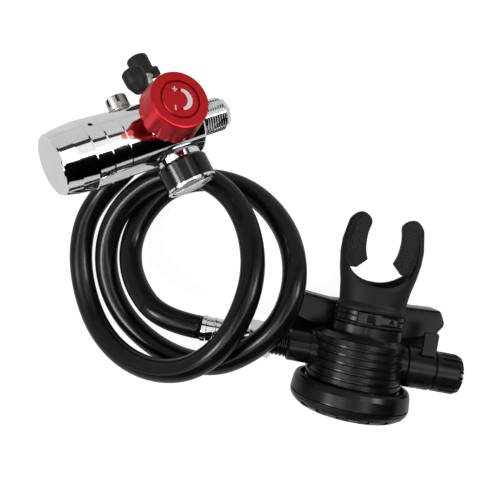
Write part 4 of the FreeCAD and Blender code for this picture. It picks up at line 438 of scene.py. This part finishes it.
def on_knob_face(across, up, height):
    """A point of the disc's paint, from its place on the disc."""
    turn = math.radians(KNOB_TURN_DEGREES)
    y = across * math.cos(turn) - up * math.sin(turn)
    z = across * math.sin(turn) + up * math.cos(turn)
    return first_stage_place @ Vector((KNOB_STATION - z, y, KNOB_TOP + height))


def paint_film(outlines):
    """Closed films of paint on the disc. Each outline is two sides of as many points, out and back."""
    points, faces = [], []
    for outline in outlines:
        first, count = len(points), len(outline)
        points += [on_knob_face(*place, 0.0) for place in outline]
        points += [on_knob_face(*place, PAINT_HEIGHT) for place in outline]
        for i in range(count // 2 - 1):
            strip = (first + i, first + i + 1, first + count - 2 - i, first + count - 1 - i)
            faces += [tuple(reversed(strip)), tuple(corner + count for corner in strip)]
        faces += [(first + i, first + (i + 1) % count, first + count + (i + 1) % count, first + count + i)
                  for i in range(count)]
    return points, faces


def on_mark(degrees, radius):
    """A place on the disc, from its angle off the top and its distance from the middle."""
    return -radius * math.sin(math.radians(degrees)), radius * math.cos(math.radians(degrees))


def stroke(degrees, length, width):
    """A straight stroke of a sign that stands at that angle."""
    x, y = on_mark(degrees, SIGN_RADIUS)
    return [(x - length / 2, y - width / 2), (x + length / 2, y - width / 2),
            (x + length / 2, y + width / 2), (x - length / 2, y + width / 2)]


def outward(piece):
    """Turns a closed mesh's faces outwards."""
    work = bmesh.new()
    work.from_mesh(piece.data)
    bmesh.ops.recalc_face_normals(work, faces=work.faces)
    work.to_mesh(piece.data)
    work.free()


crescent_out, crescent_in = [], []
for i in range(MARK_STEPS + 1):
    part = i / MARK_STEPS
    bulge = math.sin(math.pi * part)
    degrees = MARK_FROM + (MARK_TO - MARK_FROM) * part
    crescent_out.append(on_mark(degrees, MARK_RADIUS + MARK_END_WIDTH / 2 + MARK_BULGE_OUT * bulge))
    crescent_in.append(on_mark(degrees, MARK_RADIUS - MARK_END_WIDTH / 2 - MARK_BULGE_IN * bulge))
painted = [crescent_out + crescent_in[::-1],
           stroke(PLUS_DEGREES, SIGN_LENGTH, SIGN_WIDTH),
           stroke(PLUS_DEGREES, SIGN_WIDTH, SIGN_LENGTH),
           stroke(MINUS_DEGREES, SIGN_LENGTH, SIGN_WIDTH)]
paint = mesh_piece("knob_paint", *paint_film(painted), printed, smooth=False)
outward(paint)
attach(paint, "valve_knob_group")
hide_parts("knob_marks")

# The gauge: a white dial with a scale of ticks, and a ring under them that is red at its low
# end and green after it. The needle is painted red, the lens is clear plastic and the case black.
DIAL_STATION = 0.0624
TICKS = 36
TICK_REACH = (0.0088, 0.0104)
RING_REACH = (0.0078, 0.0086)
RING_EDGE = 0.0001
SCALE_HALF_TURN = 2.3
RED_UP_TO = (-1.30, -1.28)
DIAL_WHITE, TICK_BLACK = (0.85, 0.85, 0.83, 1), (0.01, 0.01, 0.01, 1)
RING_RED, RING_GREEN = (0.45, 0.02, 0.02, 1), (0.03, 0.25, 0.06, 1)
LENS_TINT = (0.97, 0.98, 1.0, 1)
NEEDLE_DARK, NEEDLE_RED = (0.50, 0.02, 0.015, 1), (0.60, 0.03, 0.02, 1)
GAUGE_BLACK, GAUGE_WORN = (0.003, 0.003, 0.003, 1), (0.006, 0.006, 0.007, 1)

dial_print, shader, place = surface("dial_print", Roughness=0.5)
stage_x, _, stage_z = place.placed(**FIRST_STAGE).parts()
dial_x = stage_x - DIAL_STATION
dial_radius = (dial_x * dial_x + stage_z * stage_z).root()
dial_turn = dial_x.math("ARCTAN2", dial_x, stage_z)
tick_way = (dial_turn * (TICKS / (2 * math.pi)) + 0.5).fraction()
in_scale = dial_turn.band(-SCALE_HALF_TURN, SCALE_HALF_TURN, 0.01)
ticks = tick_way.band(0.44, 0.56, 0.03) * dial_radius.band(*TICK_REACH, RING_EDGE) * in_scale
colour_ring = dial_radius.band(*RING_REACH, RING_EDGE) * in_scale
coloured = colour_ring.blend(DIAL_WHITE, dial_turn.ramp(*RED_UP_TO).blend(RING_RED, RING_GREEN))
paper = place.noise(3000.0)
feed(shader, Roughness=0.45 + paper * 0.1, Base_Color=ticks.blend(coloured, TICK_BLACK))
dress(dial_print, "gauge_dial")
lens, shader, place = surface("clear_lens", Base_Color=LENS_TINT, Transmission_Weight=1.0, IOR=1.49)
wipe = place.noise(300.0, 2.0)
feed(shader, Roughness=0.02 + wipe * 0.02)
dress(lens, "gauge_lens")
needle_paint, shader, place = surface("needle_paint")
coat = place.noise(1500.0, 2.0)
feed(shader, Roughness=0.35 + coat * 0.1, Base_Color=coat.ramp(0.2, 0.8).blend(NEEDLE_DARK, NEEDLE_RED))
dress(needle_paint, "gauge_needle")
gauge_black, shader, place = surface("gauge_black", Specular_IOR_Level=0.25)
polish = place.noise(120.0)
feed(shader, Roughness=0.10 + polish * 0.10, Normal=raised(place.noise(1500.0), 0.000003, 0.3),
     Base_Color=polish.ramp(0.3, 0.7).blend(GAUGE_BLACK, GAUGE_WORN))
dress(gauge_black, "gauge_case")

# The second stage's plastics: glass-filled nylon from a polished mould, with flow marks and a
# thin seam where the halves of the mould met, along the top of case, ring and cover.
SECOND_STAGE = {"metres": (0.0505, -0.0628, 0.0334), "degrees": (2.0, 0.0, -10.5)}
SEAM_HALF_WIDTH = 0.00012
SEAM_EDGE = 0.0001
SEAM_ABOVE = (0.012, 0.014)
NYLON_BLACK, NYLON_GREY = (0.0035, 0.0035, 0.004, 1), (0.007, 0.007, 0.008, 1)

moulded, shader, place = surface("moulded_black", Specular_IOR_Level=0.15)
case_x, _, case_z = place.placed(**SECOND_STAGE).parts()
seam = case_x.band(-SEAM_HALF_WIDTH, SEAM_HALF_WIDTH, SEAM_EDGE) * case_z.ramp(*SEAM_ABOVE)
spark = place.noise(2200.0)
flow_marks = place.noise(55.0, 4.0)
feed(shader, Roughness=0.17 + flow_marks * 0.16, Normal=raised(spark * 0.07 + seam, 0.00012, 0.6),
     Base_Color=flow_marks.ramp(0.3, 0.7).blend(NYLON_BLACK, NYLON_GREY))
dress(moulded, "case", "case_ring", "front_cover", "inlet_collar", "adjust_barrel", "adjust_knob",
      "flow_lever", "valve_tube")

# The mouthpiece's clamp, the purge button and the seat carrier: softer nylon with a satin
# skin, each moulded in one piece.
SATIN_BLACK, SATIN_GREY = (0.004, 0.004, 0.005, 1), (0.009, 0.009, 0.010, 1)

satin_nylon, shader, place = surface("satin_nylon", Specular_IOR_Level=0.20)
skin = place.noise(1400.0)
feed(shader, Roughness=0.12 + skin * 0.14, Normal=raised(skin, 0.00001, 0.5),
     Base_Color=skin.ramp(0.3, 0.7).blend(SATIN_BLACK, SATIN_GREY))
dress(satin_nylon, "purge_button", "poppet", "mouthpiece_clamp")

# The seals inside, the diaphragm and the outlet valve: black rubber with a faint bloom. They
# keep their moulded shape.
RUBBER_BLACK, RUBBER_BLOOM = (0.006, 0.006, 0.007, 1), (0.012, 0.012, 0.013, 1)

rubber, shader, place = surface("black_rubber", Specular_IOR_Level=0.35)
bloom = place.noise(700.0, 4.0)
feed(shader, Roughness=0.5 + bloom * 0.15, Normal=raised(bloom, 0.00002, 0.5),
     Base_Color=bloom.ramp(0.3, 0.7).blend(RUBBER_BLACK, RUBBER_BLOOM))
dress(rubber, "piston_o_ring", "shaft_o_rings", "diaphragm", "exhaust_valve")

# The mouthpiece: one piece of soft silicone with satin walls. Its two bite tabs carry rows of
# small dimples that keep it from slipping out of the teeth. Their hollows are painted darker: painted
# shade.
MOUTHPIECE_VOXEL, MOUTHPIECE_ROUNDS = 0.00042, 6
TAB_START, TAB_FADE = 0.050, 0.002
TAB_HALF_THICKNESS, TAB_EDGE = 0.0032, 0.0002
DIMPLE_PITCH = 0.0019
DIMPLE_SLOPE = (0.20, 0.42)
# The second colour is painted shade for the hollows of the dimples, not a colour of the silicone.
SILICONE_BLACK, DIMPLE_PAINTED_SHADE = (0.0050, 0.0050, 0.0058, 1), (0.0030, 0.0030, 0.0034, 1)

silicone, shader, place = surface("black_silicone", Specular_IOR_Level=0.14)
case_x, case_y, case_z = place.placed(**SECOND_STAGE).parts()
row = case_y / DIMPLE_PITCH
every_other_row = (row * 0.5).fraction().ramp(0.499, 0.501)
across = case_x / DIMPLE_PITCH + every_other_row * 0.5
cell_x = across.fraction() - 0.5
cell_y = row.fraction() - 0.5
from_centre = (cell_x * cell_x + cell_y * cell_y).root()
on_tab = (case_y.ramp(TAB_START, TAB_START + TAB_FADE)
          * case_z.band(-TAB_HALF_THICKNESS, TAB_HALF_THICKNESS, TAB_EDGE))
dimples = (1 - from_centre.ramp(*DIMPLE_SLOPE)) * on_tab
matt = place.noise(1600.0)
feed(shader, Roughness=0.46 + matt * 0.12, Normal=raised(matt * 0.06 + dimples, 0.0002, 0.6),
     # Inside the dimples the colour turns darker than the silicone around them: painted shade in their
     # hollows.
     Base_Color=dimples.blend(SILICONE_BLACK, DIMPLE_PAINTED_SHADE))


def soft_skin(name, node, voxel, rounds, material):
    """A moulded soft piece: the CAD solid's shape as one skin of small even faces with rounded edges."""
    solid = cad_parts[node]
    piece = bpy.data.objects.new(name, solid.data.copy())
    piece.data.transform(solid.matrix_world)
    bpy.context.collection.objects.link(piece)
    skin = piece.modifiers.new("skin", "REMESH")
    skin.mode, skin.voxel_size = "VOXEL", voxel
    rounding = piece.modifiers.new("rounding", "SMOOTH")
    rounding.factor, rounding.iterations = 0.5, rounds
    view = bpy.context.evaluated_depsgraph_get()
    plain = bpy.data.meshes.new_from_object(piece.evaluated_get(view))
    piece.modifiers.clear()
    piece.data = plain
    plain.materials.clear()
    plain.materials.append(material)
    plain.polygons.foreach_set("use_smooth", [True] * len(plain.polygons))
    return piece


mouthpiece = soft_skin("soft_mouthpiece", "mouthpiece", MOUTHPIECE_VOXEL, MOUTHPIECE_ROUNDS, silicone)
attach(mouthpiece, "set")
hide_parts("mouthpiece")

# The exhaust tee: a thin moulded duct with a wing each side, its edges rounded by the mould.
# The left wing is a touch shorter than the right.
TEE_VOXEL, TEE_ROUNDS = 0.00065, 3
WING_BEND = -0.040
WING_REACH = -0.0478
LEFT_WING_TRIM = 0.0022

tee = soft_skin("moulded_tee", "exhaust_tee", TEE_VOXEL, TEE_ROUNDS, moulded)
second_stage_place = standing(**SECOND_STAGE)
to_stage = second_stage_place.inverted()
for vertex in tee.data.vertices:
    local = to_stage @ vertex.co
    if local.x < WING_BEND:
        local.x += LEFT_WING_TRIM * (local.x - WING_BEND) / (WING_REACH - WING_BEND)
        vertex.co = second_stage_place @ local
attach(tee, "set")
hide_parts("exhaust_tee")

# Two low ramps moulded on the mouthpiece's clamp, on its head and at the strap's free end,
# which a screwdriver lifts. They fall towards the front and narrow towards the back.
CLAMP_SHIFT = 0.003
HEAD_RAMP = {"sides": (-0.0045, 0.0005), "ends": (0.0208, 0.0250), "base": 0.0169, "rise": 0.0009,
             "narrowing": 0.75}
STRAP_RAMP = {"sides": (0.0075, 0.0108), "ends": (0.0218, 0.0244), "base": 0.0151, "rise": 0.0008,
              "narrowing": 0.15}
RAMP_LIP = 0.0001


def ramp_block(sides, ends, base, rise, narrowing):
    """The eight corners of a ramp: four at its front lip and four at its back."""
    middle, half_width = CLAMP_SHIFT + (sides[0] + sides[1]) / 2, (sides[1] - sides[0]) / 2
    corners = []
    for y, reach, height in ((ends[0], half_width, RAMP_LIP), (ends[1], half_width * narrowing, rise)):
        for z in (base, base + height):
            corners += [second_stage_place @ Vector((middle + side * reach, y, z)) for side in (-1, 1)]
    return corners


RAMP_FACES = [(0, 1, 3, 2), (4, 6, 7, 5), (0, 4, 5, 1), (2, 3, 7, 6), (0, 2, 6, 4), (1, 5, 7, 3)]
ramp_corners = ramp_block(**HEAD_RAMP) + ramp_block(**STRAP_RAMP)
ramp_faces = [tuple(first + corner for corner in face) for first in (0, 8) for face in RAMP_FACES]
ramps = mesh_piece("clamp_ramps", ramp_corners, ramp_faces, satin_nylon, smooth=False)
outward(ramps)
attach(ramps, "set")

# The ratchet teeth of the clamp: fine ridges moulded on the strap, to both sides of its square
# head, where the pawl bites.
CLAMP_MIDDLE = 0.0231
CLAMP_HALF_WIDTH, CLAMP_HALF_HEIGHT = 0.01905, 0.01483
TOOTH_PITCH = 0.0011
TOOTH_SIZE = (0.00055, 0.0042, 0.0007)
TOOTHED_ARCS = [(112, 166), (14, 38)]
ARC_STEPS = 30


def repeated_along(name, paths, pitch, size, material):
    """Small blocks along open paths, one mesh: Geometry Nodes place and turn them."""
    points, edges = [], []
    for path in paths:
        edges += [(len(points) + i, len(points) + i + 1) for i in range(len(path) - 1)]
        points += path
    holder = mesh_piece(name, points, [], material, edges=edges)
    tree = bpy.data.node_groups.new(name, "GeometryNodeTree")
    tree.interface.new_socket("Geometry", in_out="INPUT", socket_type="NodeSocketGeometry")
    pitch_input = tree.interface.new_socket("Pitch", in_out="INPUT", socket_type="NodeSocketFloat")
    size_input = tree.interface.new_socket("Tooth size", in_out="INPUT", socket_type="NodeSocketVector")
    tree.interface.new_socket("Geometry", in_out="OUTPUT", socket_type="NodeSocketGeometry")
    made = {kind: tree.nodes.new(kind) for kind in (
        "NodeGroupInput", "GeometryNodeMeshToCurve", "GeometryNodeCurveToPoints", "GeometryNodeMeshCube",
        "GeometryNodeInstanceOnPoints", "GeometryNodeRealizeInstances", "GeometryNodeSetMaterial",
        "NodeGroupOutput")}
    made["GeometryNodeCurveToPoints"].mode = "LENGTH"
    made["GeometryNodeSetMaterial"].inputs["Material"].default_value = material
    for start, out, end, into in (
            ("NodeGroupInput", "Geometry", "GeometryNodeMeshToCurve", "Mesh"),
            ("GeometryNodeMeshToCurve", "Curve", "GeometryNodeCurveToPoints", "Curve"),
            ("NodeGroupInput", "Pitch", "GeometryNodeCurveToPoints", "Length"),
            ("NodeGroupInput", "Tooth size", "GeometryNodeMeshCube", "Size"),
            ("GeometryNodeCurveToPoints", "Points", "GeometryNodeInstanceOnPoints", "Points"),
            ("GeometryNodeCurveToPoints", "Rotation", "GeometryNodeInstanceOnPoints", "Rotation"),
            ("GeometryNodeMeshCube", "Mesh", "GeometryNodeInstanceOnPoints", "Instance"),
            ("GeometryNodeInstanceOnPoints", "Instances", "GeometryNodeRealizeInstances", "Geometry"),
            ("GeometryNodeRealizeInstances", "Geometry", "GeometryNodeSetMaterial", "Geometry"),
            ("GeometryNodeSetMaterial", "Geometry", "NodeGroupOutput", "Geometry")):
        tree.links.new(made[start].outputs[out], made[end].inputs[into])
    repeat = holder.modifiers.new("repeat", "NODES")
    repeat.node_group = tree
    repeat[pitch_input.identifier] = pitch
    repeat[size_input.identifier] = size
    view = bpy.context.evaluated_depsgraph_get()
    plain = bpy.data.meshes.new_from_object(holder.evaluated_get(view))
    holder.modifiers.clear()
    holder.data = plain
    return holder


strap_paths = []
for start, end in TOOTHED_ARCS:
    turns = [math.radians(start + (end - start) * i / ARC_STEPS) for i in range(ARC_STEPS + 1)]
    strap_paths.append([second_stage_place @ Vector((
        CLAMP_SHIFT + CLAMP_HALF_WIDTH * math.cos(turn), CLAMP_MIDDLE, CLAMP_HALF_HEIGHT * math.sin(turn)))
        for turn in turns])
teeth = repeated_along("clamp_teeth", strap_paths, TOOTH_PITCH, TOOTH_SIZE, satin_nylon)
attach(teeth, "set")

# The cap on the filling nipple: a soft rubber hood with a pull lobe and an ear, dusty where
# it has been handled.
CAP_VOXEL, CAP_ROUNDS = 0.00028, 5
CAP_BLACK, CAP_DUSTY = (0.005, 0.005, 0.006, 1), (0.010, 0.010, 0.012, 1)

cap_rubber, shader, place = surface("cap_rubber", Specular_IOR_Level=0.16)
handled = place.noise(140.0, 4.0)
pores = place.noise(2000.0)
feed(shader, Roughness=0.42 + handled * 0.16, Normal=raised(pores, 0.00003, 0.5),
     Base_Color=handled.ramp(0.35, 0.7).blend(CAP_BLACK, CAP_DUSTY))
dust_cap = soft_skin("soft_dust_cap", "dust_cap", CAP_VOXEL, CAP_ROUNDS, cap_rubber)
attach(dust_cap, "cap_of_nipple")
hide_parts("dust_cap")

# The seal at the root of the tank thread: a rubber ring with the thin flash line of its mould,
# stretched a little onto its seat.
SEAL_STATION = 0.0785
SEAL_RADIUS = 0.0092
SEAL_TUBE = 0.0011
FLASH_HEIGHT = 0.00006
FLASH_SHARPNESS = 24
SEAL_ROUND, SEAL_TUBE_ROUND = 160, 32

ring_points, ring_faces = [], []
for i in range(SEAL_ROUND):
    turn = 2 * math.pi * i / SEAL_ROUND
    for j in range(SEAL_TUBE_ROUND):
        around = 2 * math.pi * j / SEAL_TUBE_ROUND
        tube = SEAL_TUBE - FLASH_HEIGHT + FLASH_HEIGHT * math.cos(around) ** FLASH_SHARPNESS
        reach = SEAL_RADIUS + tube * math.cos(around)
        ring_points.append(first_stage_place @ Vector((
            SEAL_STATION + tube * math.sin(around), reach * math.cos(turn), reach * math.sin(turn))))
        next_i, next_j = (i + 1) % SEAL_ROUND, (j + 1) % SEAL_TUBE_ROUND
        ring_faces.append((i * SEAL_TUBE_ROUND + j, i * SEAL_TUBE_ROUND + next_j,
                           next_i * SEAL_TUBE_ROUND + next_j, next_i * SEAL_TUBE_ROUND + j))
seal = mesh_piece("tank_seal", ring_points, ring_faces, rubber)
outward(seal)
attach(seal, "set")
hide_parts("tank_o_ring")

# The coil springs inside: drawn steel wire. In the regulator each closes up between its two seats
# as the piston, the button, the seat carrier or the adjusting spindle comes nearer; here each is a
# still copy of its CAD spring, and the seat carrier's spring is two halves that meet at its middle.
ALONG_X, ALONG_Y = 0, 1
LOW_END, HIGH_END = 0, 1
SAME_POINT = 1e-7


def coil(name, node, stage, axis, moving_end, half=False):
    """A still copy of a CAD spring, or of its half cut across one of the stage's axes."""
    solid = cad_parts[node]
    piece = bpy.data.objects.new(name, solid.data.copy())
    bpy.context.collection.objects.link(piece)
    piece.data.transform(stage.inverted() @ solid.matrix_world)
    piece.data.materials.clear()
    piece.data.materials.append(steel)
    ends = [pick(vertex.co[axis] for vertex in piece.data.vertices) for pick in (min, max)]
    work = bmesh.new()
    work.from_mesh(piece.data)
    bmesh.ops.remove_doubles(work, verts=work.verts, dist=SAME_POINT)
    if half:
        middle, towards_still = Vector(), Vector()
        middle[axis] = (ends[LOW_END] + ends[HIGH_END]) / 2
        towards_still[axis] = 1 if moving_end == LOW_END else -1
        bmesh.ops.bisect_plane(work, geom=work.verts[:] + work.edges[:] + work.faces[:], plane_co=middle,
                               plane_no=towards_still, clear_outer=True)
        bmesh.ops.holes_fill(work, edges=[edge for edge in work.edges if edge.is_boundary])
        ends[1 - moving_end] = middle[axis]
    work.to_mesh(piece.data)
    work.free()
    still, moved = Vector(), Vector()
    still[axis], moved[axis] = ends[1 - moving_end], ends[moving_end]
    piece.data.transform(stage)
    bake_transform(piece)
    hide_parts(node)


coil("piston_coil", "main_spring", first_stage_place, ALONG_X, LOW_END)
coil("button_coil", "purge_spring", second_stage_place, ALONG_Y, LOW_END)
coil("carrier_coil", "poppet_spring", second_stage_place, ALONG_X, LOW_END, half=True)
coil("spindle_coil", "poppet_spring", second_stage_place, ALONG_X, HIGH_END, half=True)
